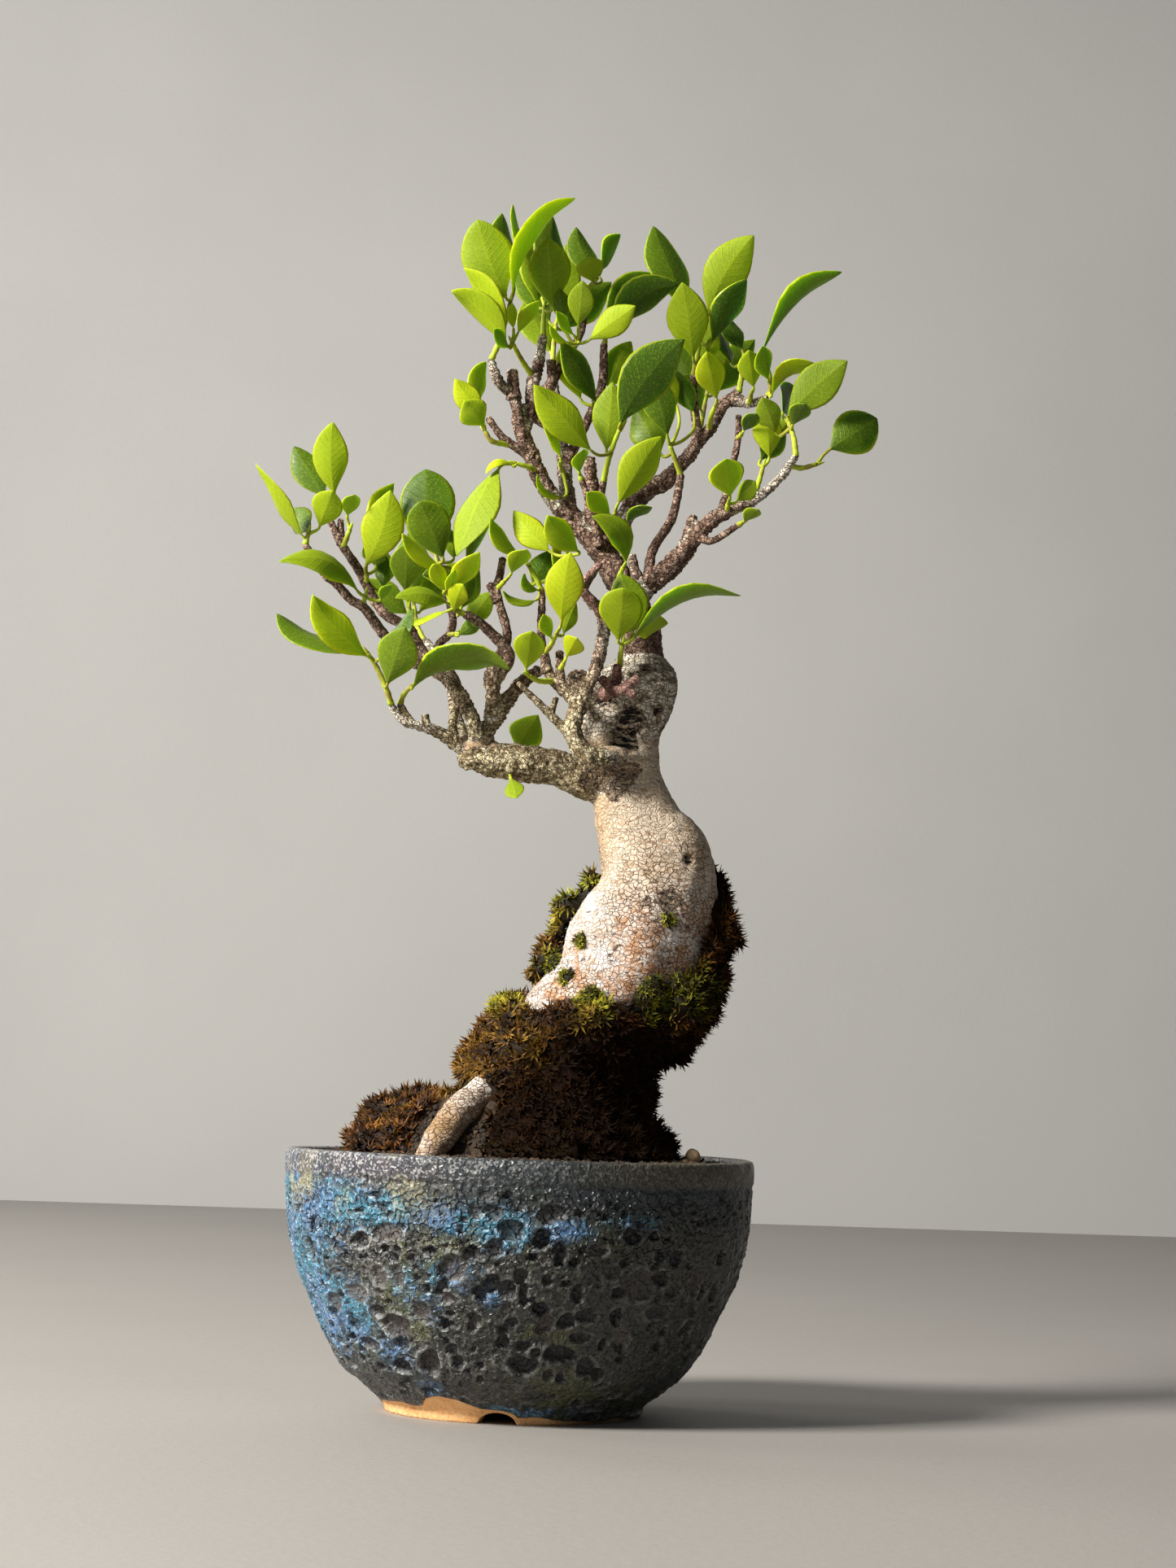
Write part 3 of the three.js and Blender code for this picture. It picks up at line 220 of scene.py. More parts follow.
# node helpers: a new node goes into the tree of the first socket it is given

def plug(socket, value):
    if isinstance(value, bpy.types.NodeSocket):
        socket.id_data.links.new(value, socket)
    elif value is not None:
        socket.default_value = value


def addNode(tree, kind, inputs=None, **settings):
    node = tree.nodes.new(kind)
    for key, value in settings.items():
        setattr(node, key, value)
    for key, value in (inputs or {}).items():
        if value is not None:
            plug(node.inputs[key], value)
    return node


def nodeBeside(values, kind, inputs=None, **settings):
    tree = next(v.id_data for v in values if isinstance(v, bpy.types.NodeSocket))
    return addNode(tree, kind, inputs, **settings)


def mathNode(operation, *values):
    return nodeBeside(values, "ShaderNodeMath", dict(enumerate(values)), operation=operation).outputs[0]


def times(a, b):
    return mathNode("MULTIPLY", a, b)


def timesPlus(a, b, c):
    return mathNode("MULTIPLY_ADD", a, b, c)


def plus(a, b):
    return mathNode("ADD", a, b)


def minus(a, b):
    return mathNode("SUBTRACT", a, b)


def vectorNode(operation, a, b=None, scale=None):
    node = nodeBeside((a, b, scale), "ShaderNodeVectorMath", {0: a, 1: b, "Scale": scale}, operation=operation)
    return node.outputs["Vector"]


def stretch(vector, *factors):
    return vectorNode("MULTIPLY", vector, factors)


def bend(vector, scale, detail, amount):  # a place pushed about by noise
    warp = nodeBeside([vector], "ShaderNodeTexNoise", {"Scale": scale, "Detail": detail, "Vector": vector})
    return vectorNode("ADD", vector, vectorNode("SCALE", warp.outputs["Color"], scale=amount))


def ramp(value, low, high, toLow=0.0, toHigh=1.0):
    sockets = {"Value": value, "From Min": low, "From Max": high, "To Min": toLow, "To Max": toHigh}
    return nodeBeside(sockets.values(), "ShaderNodeMapRange", sockets, interpolation_type="SMOOTHSTEP").outputs[0]


def mixColor(factor, a, b):
    node = nodeBeside((factor, a, b), "ShaderNodeMix", {0: factor}, data_type="RGBA", clamp_factor=True)
    for socket, value in ((node.inputs[6], a), (node.inputs[7], b)):
        plug(socket, (*value, 1) if isinstance(value, tuple) else value)
    return node.outputs[2]


def noiseNode(vector, scale, detail=3.0, roughness=0.55):
    return nodeBeside([vector], "ShaderNodeTexNoise", {"Scale": scale, "Detail": detail, "Roughness": roughness,
        "Vector": vector}).outputs[0]


def cellNode(vector, scale, feature="F1"):
    return nodeBeside([vector], "ShaderNodeTexVoronoi", {"Vector": vector, "Scale": scale}, feature=feature)


def splitNode(vector):
    return nodeBeside([vector], "ShaderNodeSeparateXYZ", {"Vector": vector}).outputs


def colorParts(color):
    return nodeBeside([color], "ShaderNodeSeparateColor", {"Color": color}).outputs


def bumpNode(height, distance, strength=1.0):
    return nodeBeside([height], "ShaderNodeBump", {"Height": height, "Distance": distance,
        "Strength": strength}).outputs[0]


def newMaterial(name):
    material = bpy.data.materials.new(name)
    material.use_nodes = True
    tree = material.node_tree
    tree.nodes.clear()
    shader = addNode(tree, "ShaderNodeBsdfPrincipled")
    addNode(tree, "ShaderNodeOutputMaterial", {0: shader.outputs[0]})
    return material, shader, addNode(tree, "ShaderNodeTexCoord").outputs["Object"]


def finish(shader, color, roughness, normal, others=None):
    for key, value in {"Base Color": color, "Roughness": roughness, "Normal": normal, **(others or {})}.items():
        plug(shader.inputs[key], value)


def fields(place, *names):  # the piece's own per-point values
    return [nodeBeside([place], "ShaderNodeAttribute", attribute_name=name,
        attribute_type="GEOMETRY").outputs["Fac"] for name in names]


def newGroup(name, inputs, outputs):
    group = bpy.data.node_groups.new(name, "ShaderNodeTree")
    for direction, sockets in (("INPUT", inputs), ("OUTPUT", outputs)):
        for socketName, kind in sockets.items():
            group.interface.new_socket(name=socketName, in_out=direction, socket_type="NodeSocket" + kind)
    return group, addNode(group, "NodeGroupInput").outputs, addNode(group, "NodeGroupOutput").inputs


def speckleGroup():  # fine grain shared by the glaze, bark, leaves, moss, earth and stone
    group, given, made = newGroup("fineSpeckle", {"Place": "Vector", "Scale": "Float"}, {"Value": "Float"})
    plug(made["Value"], noiseNode(given["Place"], given["Scale"], 3.0, 0.65))
    return group


def blotchGroup():  # soft patches of two colours, shared by the plain finishes
    group, given, made = newGroup("softBlotches", {"Place": "Vector", "Scale": "Float", "First": "Color",
        "Second": "Color"}, {"Value": "Float", "Color": "Color"})
    value = noiseNode(given["Place"], given["Scale"], 4.0, 0.62)
    plug(made["Value"], value)
    plug(made["Color"], mixColor(ramp(value, 0.36, 0.64), given["First"], given["Second"]))
    return group


speckleTree, blotchTree = speckleGroup(), blotchGroup()


def speckle(place, scale):
    sockets = {"Place": place, "Scale": scale}
    return nodeBeside([place], "ShaderNodeGroup", sockets, node_tree=speckleTree).outputs["Value"]


def blotches(place, scale, first, second):
    sockets = {"Place": place, "Scale": scale, "First": (*first, 1), "Second": (*second, 1)}
    node = nodeBeside([place], "ShaderNodeGroup", sockets, node_tree=blotchTree)
    return node.outputs["Value"], node.outputs["Color"]


def newShaper(name, **sizes):  # a geometry tree with named inputs: tree, its ports, what comes in, the way out
    tree = bpy.data.node_groups.new(name, "GeometryNodeTree")
    ports = {}
    for key, value in {"Geometry": None, **sizes}.items():
        kind = "Geometry" if value is None else "Int" if isinstance(value, int) else "Float"
        ports[key] = tree.interface.new_socket(name=key, in_out="INPUT", socket_type="NodeSocket" + kind)
        if value is not None:
            ports[key].default_value = value
    tree.interface.new_socket(name="Geometry", in_out="OUTPUT", socket_type="NodeSocketGeometry")
    return tree, ports, addNode(tree, "NodeGroupInput").outputs, addNode(tree, "NodeGroupOutput").inputs[0]


def namedField(tree, name):
    return addNode(tree, "GeometryNodeInputNamedAttribute", {"Name": name}, data_type="FLOAT").outputs[0]


def runShaper(piece, tree, ports, **values):
    modifier = piece.modifiers.new("shaper", "NODES")
    modifier.node_group = tree
    for key, value in values.items():
        modifier[ports[key].identifier] = value
    bakeModifiers(piece)


print("frame loaded, pot axis at", np.round(potAxis * 1000, 3).tolist())

# the pot: a thrown bowl, bare clay at the foot, and a pitted glaze above with blue washes

potShape = dict(around=520, wallStep=0.62, seed=7, wobble=0.35, lumps=0.8, notchWidth=12, notchHeight=3.5,
    notchAngles=(-1.667, 0.427, 2.522), glazeStep=0.5, glazeBead=0.35, grooveHeight=73.8, grooveDepth=0.40,
    reliefSink=0.45)
pitShape = dict(count=1750, tries=40000, lowest=4, span=73, smallest=0.45, spread=2.6, crowding=0.72,
    backShare=0.10, deepest=1.8, depthShare=0.62, depthScale=1.15, rimHeight=0.48, rimReach=1.7, fullDepth=0.7)
outerProfile = [[41.4, 0], [42.2, 3.2], [46, 6.4], [55.5, 14.5], [60, 21.5], [64, 30], [69.7, 43], [73.4, 57],
    [75, 75], [75, 80.4], [74.5, 81.7]]
innerProfile = [[73.4, 82.1], [72, 82.1], [70.9, 81.7], [70.4, 80.6], [69.9, 76], [68, 55.5], [60, 32], [50, 17.5],
    [40, 11.6], [28, 10.2], [8, 10.2], [8, 7.4], [8, 4.6], [20, 4.6], [33, 4.6], [33.9, 3.4], [34.5, 1.6],
    [35, 0.3], [36, 0], [38.2, 0], [40.6, 0]]
# large pits: x, z, width, height, depth, floor tone (0 black, 1 grey)
largePits = [[-38, 26, 9.5, 7.5, 1.7, 0.5], [-27, 14.5, 7, 9, 2.0, 0.35], [-18, 15, 4.5, 4.5, 1.4, 0.1],
    [3, 14.5, 8.5, 7.5, 1.9, 0.1], [3, 20.8, 5.5, 3.4, 1.4, 0], [14.5, 18.5, 9.5, 6.2, 1.8, 0.05],
    [-8, 40, 6, 6.5, 1.8, 0], [-3, 38.5, 6.5, 5.5, 1.7, 0.1], [-11.5, 37, 4, 6, 1.8, 0],
    [8, 32.5, 5.6, 5.2, 1.8, 0], [2.5, 35, 3.4, 3.2, 1.2, 0], [-2, 57.5, 7.5, 7.5, 1.6, 0.3],
    [8, 55, 6.4, 6, 1.9, 0], [23, 31, 6.2, 5.4, 1.5, 0.15], [21, 24, 6, 4, 1.3, 0.2],
    [33.5, 38.5, 4.6, 4.2, 1.5, 0], [-51, 36, 6.5, 7, 0.7, 1.0], [-58, 33, 5, 7, 0.8, 0.9],
    [-42, 55.5, 8.5, 6.5, 0.9, 0.8], [-28, 50, 3.8, 3.4, 1.4, 0], [5, 49, 3.2, 3.2, 1.2, 0],
    [13.5, 48, 3.4, 3, 1.3, 0], [-38.5, 50, 3, 3.2, 1.2, 0.1], [-54.5, 48, 2, 3.4, 1.3, 0],
    [34, 21, 3.8, 3, 1.2, 0], [46, 22, 3.2, 3.2, 1.2, 0], [-20, 45, 9, 8, 1.0, 0.55], [-8, 63, 6, 5, 1.0, 0.7],
    [11, 63, 8, 6.5, 1.0, 0.5], [-14, 63, 4.4, 4.4, 1.0, 0.9], [-11, 68.5, 4.6, 3.6, 0.8, 0.9],
    [0, 66, 5.6, 4.6, 0.8, 0.6], [-7, 52, 5, 6.5, 1.2, 0.3], [-24, 44, 4, 5, 1.3, 0.1],
    [-38, 42, 4.5, 7, 1.0, 0.6], [-30, 31, 6, 6, 0.9, 0.6], [-22, 27, 4, 3.6, 1.5, 0], [40, 41, 10, 9, 0.8, 0.3],
    [46, 33, 7, 6, 0.9, 0.2], [37, 57, 5, 6, 1.2, 0.1], [44, 57, 3.4, 3.4, 1.2, 0], [31, 45, 5, 5, 0.8, 0.3],
    [10, 42, 3.4, 4, 1.2, 0.1], [16, 41, 3, 2.6, 1.1, 0], [26, 52, 6, 5, 0.7, 0.3], [-66, 57, 3, 5, 1.5, 0],
    [-46, 20, 6, 4.5, 1.1, 0.3], [60, 40, 3, 6, 1.6, 0], [55, 28, 4, 6, 1.4, 0.1], [-70, 62, 2, 4, 1.3, 0],
    [-34, 47.5, 3, 3, 1.0, 0.2], [-44, 41.5, 5, 6, 0.8, 0.7], [-1, 28, 4, 3.4, 1.3, 0.1], [-13, 29, 5, 4, 1.2, 0.2]]
# how high the bare clay shows: angle in degrees, mm
glazeEdgeRows = [[-180, 2.5], [-165, 3.2], [-150, 4.0], [-140, 4.8], [-134, 4.4], [-129, 4.6], [-124, 6.6],
    [-117, 7.8], [-110, 7.4], [-104, 5.4], [-98, 3.6], [-92, 3.0], [-84, 2.2], [-70, 1.7], [-53, 1.2], [-15, 0.6],
    [20, 1.2], [60, 3.2], [90, 4.4], [120, 4.8], [150, 3.2], [180, 2.5]]
# where the glaze runs blue: angle, height, angular spread, height spread, strength
blueZones = [[-170, 54, 20, 30, 1.0], [-156, 38, 14, 18, 1.0], [-140, 33, 9, 11, 0.95], [-122, 65, 14, 6, 0.9],
    [-138, 66, 14, 8, 0.9], [-150, 60, 14, 16, 0.75], [-128, 22, 9, 7, 0.5], [-106, 47, 9, 6, 0.45],
    [-117, 42, 7, 8, 0.45], [-92, 62, 8, 7, 1.0], [-78, 61, 7, 4, 0.8], [-104, 64, 7, 6, 0.9],
    [-96, 41, 4, 5, 0.5], [-118, 11, 6, 6, 0.45], [-100, 4, 40, 2.5, 0.5], [-62, 64, 10, 4, 0.4],
    [170, 62, 14, 14, 0.8], [140, 64, 18, 6, 0.6], [95, 60, 16, 8, 0.7], [45, 64, 14, 6, 0.5],
    [60, 30, 9, 10, 0.4], [120, 34, 9, 12, 0.5], [-112, 38, 5, 9, 0.35]]


def pointOnWall(x, z):  # drawn point carried onto the front of the bowl: angle, height
    y = -60.0
    for _ in range(12):
        px, _, pz = at(x, z, y)
        r = np.interp(pz, [p[1] for p in outerProfile], [p[0] for p in outerProfile])
        y = -math.sqrt(max(r * r - px * px, 4.0))
    return math.atan2(y, px), pz


def buildPot():
    rng = np.random.default_rng(potShape["seed"])
    around = potShape["around"]
    fine = catmull(outerProfile, 40)
    length = lengthAlong(fine)
    wallRows = int(length[-1] / potShape["wallStep"])
    s = np.linspace(0, length[-1], wallRows)
    wall = np.stack([np.interp(s, length, fine[:, 0]), np.interp(s, length, fine[:, 1])], axis=1)
    inside = catmull(innerProfile[:5], 2).tolist() + innerProfile[5:]
    rows = np.vstack([wall, inside])
    tangent = np.gradient(wall, axis=0)
    tangent /= np.linalg.norm(tangent, axis=1)[:, None]
    normal = np.stack([tangent[:, 1], -tangent[:, 0]], axis=1)
    theta = 2 * math.pi * np.arange(around) / around - math.pi

    pits = []
    for x, z, w, h, depth, floor in largePits:
        a, pz = pointOnWall(x, z)
        r = np.interp(pz, wall[:, 1], wall[:, 0])
        narrow = max(0.45, abs(math.sin(a)))  # seen from the side near the outline
        pits.append([a, np.interp(pz, wall[:, 1], s), w / 2 / narrow, h / 2, depth, floor])
    tries = 0
    while len(pits) < pitShape["count"] and tries < pitShape["tries"]:
        tries += 1
        a, z = rng.uniform(-math.pi, math.pi), pitShape["lowest"] + pitShape["span"] * rng.random() ** 0.85
        lively = 0.5 + 0.5 * noise.noise(Vector((math.cos(a) * 2.2, math.sin(a) * 2.2, z * 0.05 + 5)))
        size = (pitShape["smallest"] + pitShape["spread"] * rng.random() ** 3.2 * (1.15 if z < 56 else 0.45)
            * (0.6 + 0.8 * lively))
        back = not -math.pi < a < 0  # the front has its large pits from the list
        if back and rng.random() < pitShape["backShare"] and 8 < z < 58:
            size = rng.uniform(2.2, 4.4)
        if z > 70 and rng.random() < 0.75:
            continue
        here = np.interp(z, wall[:, 1], s)
        r = np.interp(z, wall[:, 1], wall[:, 0])
        near = np.array(pits)
        gapA = (near[:, 0] - a + math.pi) % (2 * math.pi) - math.pi
        away = np.hypot(gapA * r / np.maximum(near[:, 2], 0.1), (near[:, 1] - here) / np.maximum(near[:, 3], 0.1))
        bigger = (near[:, 2] + near[:, 3]) / 2
        if (away < 1 + pitShape["crowding"] * size / bigger).any():
            continue
        oval = rng.uniform(0.8, 1.25)
        floor = rng.choice([0.0, 0.1, 0.4, 0.8], p=[0.45, 0.25, 0.2, 0.1])
        depth = min(pitShape["deepest"], 0.35 + pitShape["depthShare"] * size) * rng.uniform(0.6, 1.05)
        pits.append([a, here, size * oval, size / oval, depth, floor])

    depthMap = np.zeros((wallRows, around))
    rimMap = np.zeros((wallRows, around))
    floorMap = np.zeros((wallRows, around))
    for a, here, w, h, depth, floor in pits:
        reach = pitShape["rimReach"]
        i0, i1 = np.searchsorted(s, [here - h * reach, here + h * reach])
        i0, i1 = max(0, i0 - 1), min(wallRows, i1 + 1)
        r = wall[(i0 + i1) // 2, 0]
        half = w * reach / r
        gap = (theta - a + math.pi) % (2 * math.pi) - math.pi
        cols = np.nonzero(np.abs(gap) < half + 0.02)[0]
        u = gap[cols][None, :] * r / w
        v = (s[i0:i1][:, None] - here) / h
        phi = np.arctan2(v, u)
        p1, p2, p3 = rng.uniform(0, 6.3, 3)
        uneven = 1 + 0.10 * np.sin(2 * phi + p1) + 0.07 * np.sin(3 * phi + p2) + 0.04 * np.sin(5 * phi + p3)
        rho = np.hypot(u, v) / uneven
        pit = smoothStep(1.05 - rho, 0, 0.24)
        rim = np.exp(-((rho - 1.14) / 0.17) ** 2) * (0.6 + 0.4 * np.sin(phi * 2 + p3))
        window = np.ix_(range(i0, i1), cols)
        deeper = pit * depth > depthMap[window]
        floorMap[window] = np.where(deeper, floor, floorMap[window])
        depthMap[window] = np.maximum(depthMap[window], pit * depth * (0.9 + 0.1 * np.clip(1 - rho ** 2, 0, 1)))
        rimMap[window] = np.maximum(rimMap[window], rim * min(1, 0.4 + depth * 0.5))
    pitMap = np.clip(depthMap / pitShape["fullDepth"], 0, 1)
    rimMap *= 1 - pitMap

    degrees = np.degrees(theta)
    edge = lookUp(degrees, glazeEdgeRows) + 0.35 * np.sin(theta * 9 + 1) + 0.22 * np.sin(theta * 17)
    aboveEdge = wall[:, 1][:, None] - edge[None, :]
    calm = smoothStep(aboveEdge, 0.5, 2.5) * smoothStep(79 - wall[:, 1], 0, 5)[:, None]

    points = np.zeros((len(rows), around, 3))
    relief = np.zeros((len(rows), around))
    lumps = np.zeros((wallRows, around))
    for i in range(wallRows):
        r, z = wall[i]
        for j in range(around):
            p = Vector((math.cos(theta[j]) * r, math.sin(theta[j]) * r, z))
            lumps[i, j] = (0.55 * noise.noise(p * 0.11) + 0.26 * (abs(noise.noise(p * 0.42)) - 0.25) * 2
                + 0.10 * noise.noise(p * 0.95))
    relief[:wallRows] = (lumps * (0.25 + 0.75 * calm) * potShape["lumps"]
        - pitShape["depthScale"] * depthMap * calm + rimMap * pitShape["rimHeight"] * calm
        + potShape["glazeStep"] * smoothStep(aboveEdge, -0.5, 0.4)
        + potShape["glazeBead"] * np.exp(-((aboveEdge - 0.9) / 0.9) ** 2)
        - potShape["grooveDepth"] * np.exp(-(wall[:, 1][:, None] - potShape["grooveHeight"]) ** 2)
        - potShape["reliefSink"])
    for i, (r, z) in enumerate(rows):
        nr, nz = normal[i] if i < wallRows else (0, 0)
        thrown = (potShape["wobble"] * (np.sin(2 * theta + 1.2) + 0.6 * np.sin(3 * theta + z * 0.04))
            * min(1, z / 40))
        radius = r + relief[i] * nr + (thrown if r > 45 else 0)
        height = z + relief[i] * nz + 0.30 * np.sin(2 * theta + 0.5) * smoothStep(np.array(z), 50, 82)
        if z < 5 and r > 33:
            for angle in potShape["notchAngles"]:
                gap = ((theta - angle + math.pi) % (2 * math.pi) - math.pi) * 41
                rise = np.clip(1 - (gap / (potShape["notchWidth"] / 2)) ** 2, 0, 1)
                arch = potShape["notchHeight"] * np.sqrt(rise)
                height = np.where(arch > 0, arch + np.maximum(height, 0) * (5 - arch) / 5, height)
        points[i, :, 0] = np.cos(theta) * radius
        points[i, :, 1] = np.sin(theta) * radius
        points[i, :, 2] = np.maximum(height, 0)

    index = np.arange(len(rows) * around).reshape(len(rows), around)
    following = np.roll(index, -1, axis=1)
    below = np.vstack([index[1:], index[:1]])
    belowNext = np.roll(below, -1, axis=1)
    faces = np.stack([index, following, belowNext, below], axis=-1).reshape(-1, 4).tolist()

    blue = np.zeros((wallRows, around))
    for a, z, spreadA, spreadZ, strength in blueZones:
        gap = (degrees - a + 180) % 360 - 180
        blue = np.maximum(blue, strength * np.exp(-(gap[None, :] / spreadA) ** 2
            - ((wall[:, 1][:, None] - z) / spreadZ) ** 2))
    full = lambda grid: np.vstack([grid, np.zeros((len(rows) - wallRows, around))]).ravel()
    return points.reshape(-1, 3), faces, dict(pit=full(pitMap * calm), rim=full(rimMap * calm),
        floorTone=full(floorMap), blue=full(blue), glazed=np.vstack([aboveEdge,
        np.array([np.full(around, 5.0 if z > 5 else -5.0) for r, z in rows[wallRows:]])]).ravel())


def potMaterial():
    material, shader, place = newMaterial("craterGlaze")
    across, _, height = splitNode(vectorNode("SUBTRACT", place, tuple(potAxis)))
    pit, rim, floorTone, blue, glazed = fields(place, "pit", "rim", "floorTone", "blue", "glazed")
    blotch = noiseNode(place, 70.0, 4.0, 0.6)
    mottle = noiseNode(place, 210.0, 4.0, 0.65)
    fine = speckle(place, 900.0)
    sand = cellNode(place, 1500.0)
    sandTone = colorParts(sand.outputs["Color"])[0]
    bent = bend(place, 240.0, 2.0, 0.003)
    bubbles = cellNode(bent, 520.0)
    bubble = ramp(bubbles.outputs["Distance"], 0.22, 0.42, 1.0, 0.0)
    holeCells = cellNode(place, 620.0)
    holeSize = colorParts(holeCells.outputs["Color"])[1]
    pinholes = ramp(minus(holeCells.outputs["Distance"], timesPlus(holeSize, 0.42, -0.10)), -0.04, 0.04, 1.0, 0.0)
    webs = ramp(bubbles.outputs["Distance"], 0.42, 0.75)
    upper = ramp(height, 0.046, 0.062)
    lip = ramp(height, 0.0735, 0.0765)
    web = mixColor(ramp(blotch, 0.36, 0.60), (0.050, 0.048, 0.042), (0.018, 0.020, 0.015))
    web = mixColor(ramp(mottle, 0.52, 0.66, 0.0, 0.6), web, (0.190, 0.182, 0.150))
    olive = ramp(noiseNode(place, 55.0, 3.0), 0.50, 0.62, 0.0, 0.8)
    web = mixColor(olive, web, (0.085, 0.090, 0.022))
    # painted shade: the glaze darkens towards the right, away from the light at the left
    paintedRightShade = ramp(across, -0.004, 0.058, 0.0, 0.85)
    web = mixColor(paintedRightShade, web, (0.026, 0.030, 0.026))
    web = mixColor(times(bubble, timesPlus(upper, 0.55, 0.15)), web, (0.022, 0.022, 0.022))
    # painted light: stronger towards the left, where the light falls; the pale dots there are painted glints
    paintedLeftLight = ramp(across, 0.030, -0.060, 0.25, 1.0)
    paintedGlints = times(ramp(fine, 0.58, 0.66), times(paintedLeftLight, 0.7))
    web = mixColor(paintedGlints, web, (0.34, 0.345, 0.35))
    web = mixColor(ramp(fine, 0.46, 0.38, 0.0, 0.9), web, (0.012, 0.013, 0.013))
    web = mixColor(times(pinholes, 0.92), web, (0.008, 0.008, 0.009))
    floor = mixColor(floorTone, (0.006, 0.007, 0.009), (0.110, 0.092, 0.080))
    floor = mixColor(ramp(fine, 0.52, 0.66, 0.0, 0.15), floor, (0.24, 0.23, 0.22))
    color = mixColor(ramp(pit, 0.20, 0.75), web, floor)
    rimHere = times(rim, ramp(mottle, 0.38, 0.58))
    # raised rims: dark on the right, pale on the left as a painted highlight
    rimToneAndHighlight = mixColor(paintedLeftLight, (0.17, 0.175, 0.15), (0.52, 0.53, 0.51))
    color = mixColor(times(rimHere, 0.85), color, rimToneAndHighlight)
    # blue washes over the wall, runs along the ridges and leaves the hollows dark
    wash = times(ramp(blue, 0.08, 0.8), ramp(pit, 0.2, 0.7, 0.85, 0.25))
    color = mixColor(wash, color, mixColor(ramp(blotch, 0.40, 0.60), (0.018, 0.075, 0.115), (0.032, 0.075, 0.130)))
    streak = noiseNode(stretch(bent, 1.0, 1.0, 0.6), 330.0, 4.0, 0.75)
    ridge = timesPlus(webs, 0.10, timesPlus(rim, 0.12, streak))
    blueMask = ramp(timesPlus(blue, 0.26, ridge), 0.60, 0.74)
    blueMask = times(blueMask, ramp(blue, 0.04, 0.45))
    blueMask = times(blueMask, ramp(pit, 0.2, 0.7, 1.0, 0.18))
    blueTone = mixColor(ramp(blotch, 0.40, 0.60), (0.035, 0.190, 0.28), (0.080, 0.180, 0.350))
    # pale blue on the raised rims and fine grain: partly pale glaze, partly painted highlight
    blueTone = mixColor(ramp(timesPlus(rim, 0.10, fine), 0.54, 0.64, 0.0, 0.8), blueTone, (0.46, 0.60, 0.72))
    color = mixColor(times(blueMask, 0.92), color, blueTone)
    leftward = ramp(across, 0.000, -0.040)
    ochreMask = times(ramp(noiseNode(place, 62.0, 4.0, 0.6), 0.48, 0.60), leftward)
    ochreMask = times(ochreMask, ramp(height, 0.058, 0.074))
    ochreMask = times(ochreMask, ramp(fine, 0.42, 0.54, 0.2, 0.8))
    color = mixColor(ochreMask, color, (0.42, 0.37, 0.19))
    band = times(ramp(height, 0.063, 0.069), ramp(across, -0.045, -0.010, 0.0, 0.75))
    color = mixColor(band, color, (0.026, 0.034, 0.040))
    lilac = times(lip, ramp(across, -0.010, -0.045, 0.0, 0.65))
    lipTone = mixColor(ramp(mottle, 0.4, 0.6), (0.120, 0.100, 0.125), (0.040, 0.050, 0.066))
    color = mixColor(lilac, color, lipTone)
    darkLip = times(lip, ramp(across, 0.005, 0.055))
    color = mixColor(times(darkLip, 0.7), color, (0.085, 0.068, 0.034))
    grit = ramp(sandTone, 0.74, 0.80)
    # pale grit, mostly on the lip and weaker towards the right: real grit, with painted sparkle where the light falls
    gritAndGlint = times(grit, timesPlus(lip, 0.40, 0.10))
    gritAndGlint = times(gritAndGlint, paintedLeftLight)
    color = mixColor(gritAndGlint, color, (0.62, 0.60, 0.58))
    clay = mixColor(ramp(mottle, 0.35, 0.65), (1.0, 0.58, 0.25), (0.90, 0.46, 0.17))
    clay = mixColor(ramp(fine, 0.50, 0.66, 0.0, 0.6), clay, (1.0, 0.70, 0.40))
    clay = mixColor(ramp(fine, 0.44, 0.34, 0.0, 0.35), clay, (0.42, 0.19, 0.07))
    # painted shade: the bare clay darkens towards the right, away from the light
    clay = mixColor(ramp(across, 0.008, 0.024, 0.0, 0.85), clay, (0.10, 0.062, 0.038))
    singe = ramp(timesPlus(mottle, 1.2, glazed), 0.1, 0.9)
    clay = mixColor(times(singe, 0.22), clay, (0.30, 0.13, 0.05))
    glazeHere = ramp(timesPlus(minus(fine, 0.5), 0.8, glazed), -0.15, 0.25)
    color = mixColor(glazeHere, clay, color)
    rough = ramp(mottle, 0.35, 0.65, 0.28, 0.50)
    rough = timesPlus(pit, 0.14, rough)
    rough = mixColor(glazeHere, (0.88, 0.88, 0.88), rough)
    relief = times(webs, timesPlus(upper, 0.8, 0.35))
    relief = timesPlus(mottle, 0.30, relief)
    relief = timesPlus(fine, 0.18, relief)
    relief = timesPlus(pinholes, -0.75, relief)
    relief = times(relief, ramp(glazeHere, 0.0, 1.0, 0.35, 1.0))
    relief = timesPlus(gritAndGlint, 0.25, relief)
    bump = bumpNode(relief, 0.0012, ramp(height, 0.076, 0.068, 0.35, 0.9))
    finish(shader, color, rough, bump)
    return material


potPoints, potFaces, potMasks = buildPot()
potBowl = addMesh("craterBowl", potPoints, potFaces, potMaterial())
addAttributes(potBowl.data, **potMasks)
claim(potBowl, "pot_glaze", "pot")
print("pot:", triangles(potBowl), "triangles")

# the wood: trunk, roots and limbs become one mesh with bark pushed out of it

wood = dict(voxel=0.00072, smoothing=3, trunkSides=80, limbSides=18, twigSides=10, heavyFrom=4.6, buriedBelow=64,
    faceBudget=92000, twigKnobEvery=3.6, twigKnob=0.11, twigFlare=0.45, flareLength=2.2, unevenness=0.10,
    crownFrom=150)
barkSizes = dict(Lumps=0.0019, Ridges=0.0017, Wrinkles=0.0006, Flakes=0.0020)

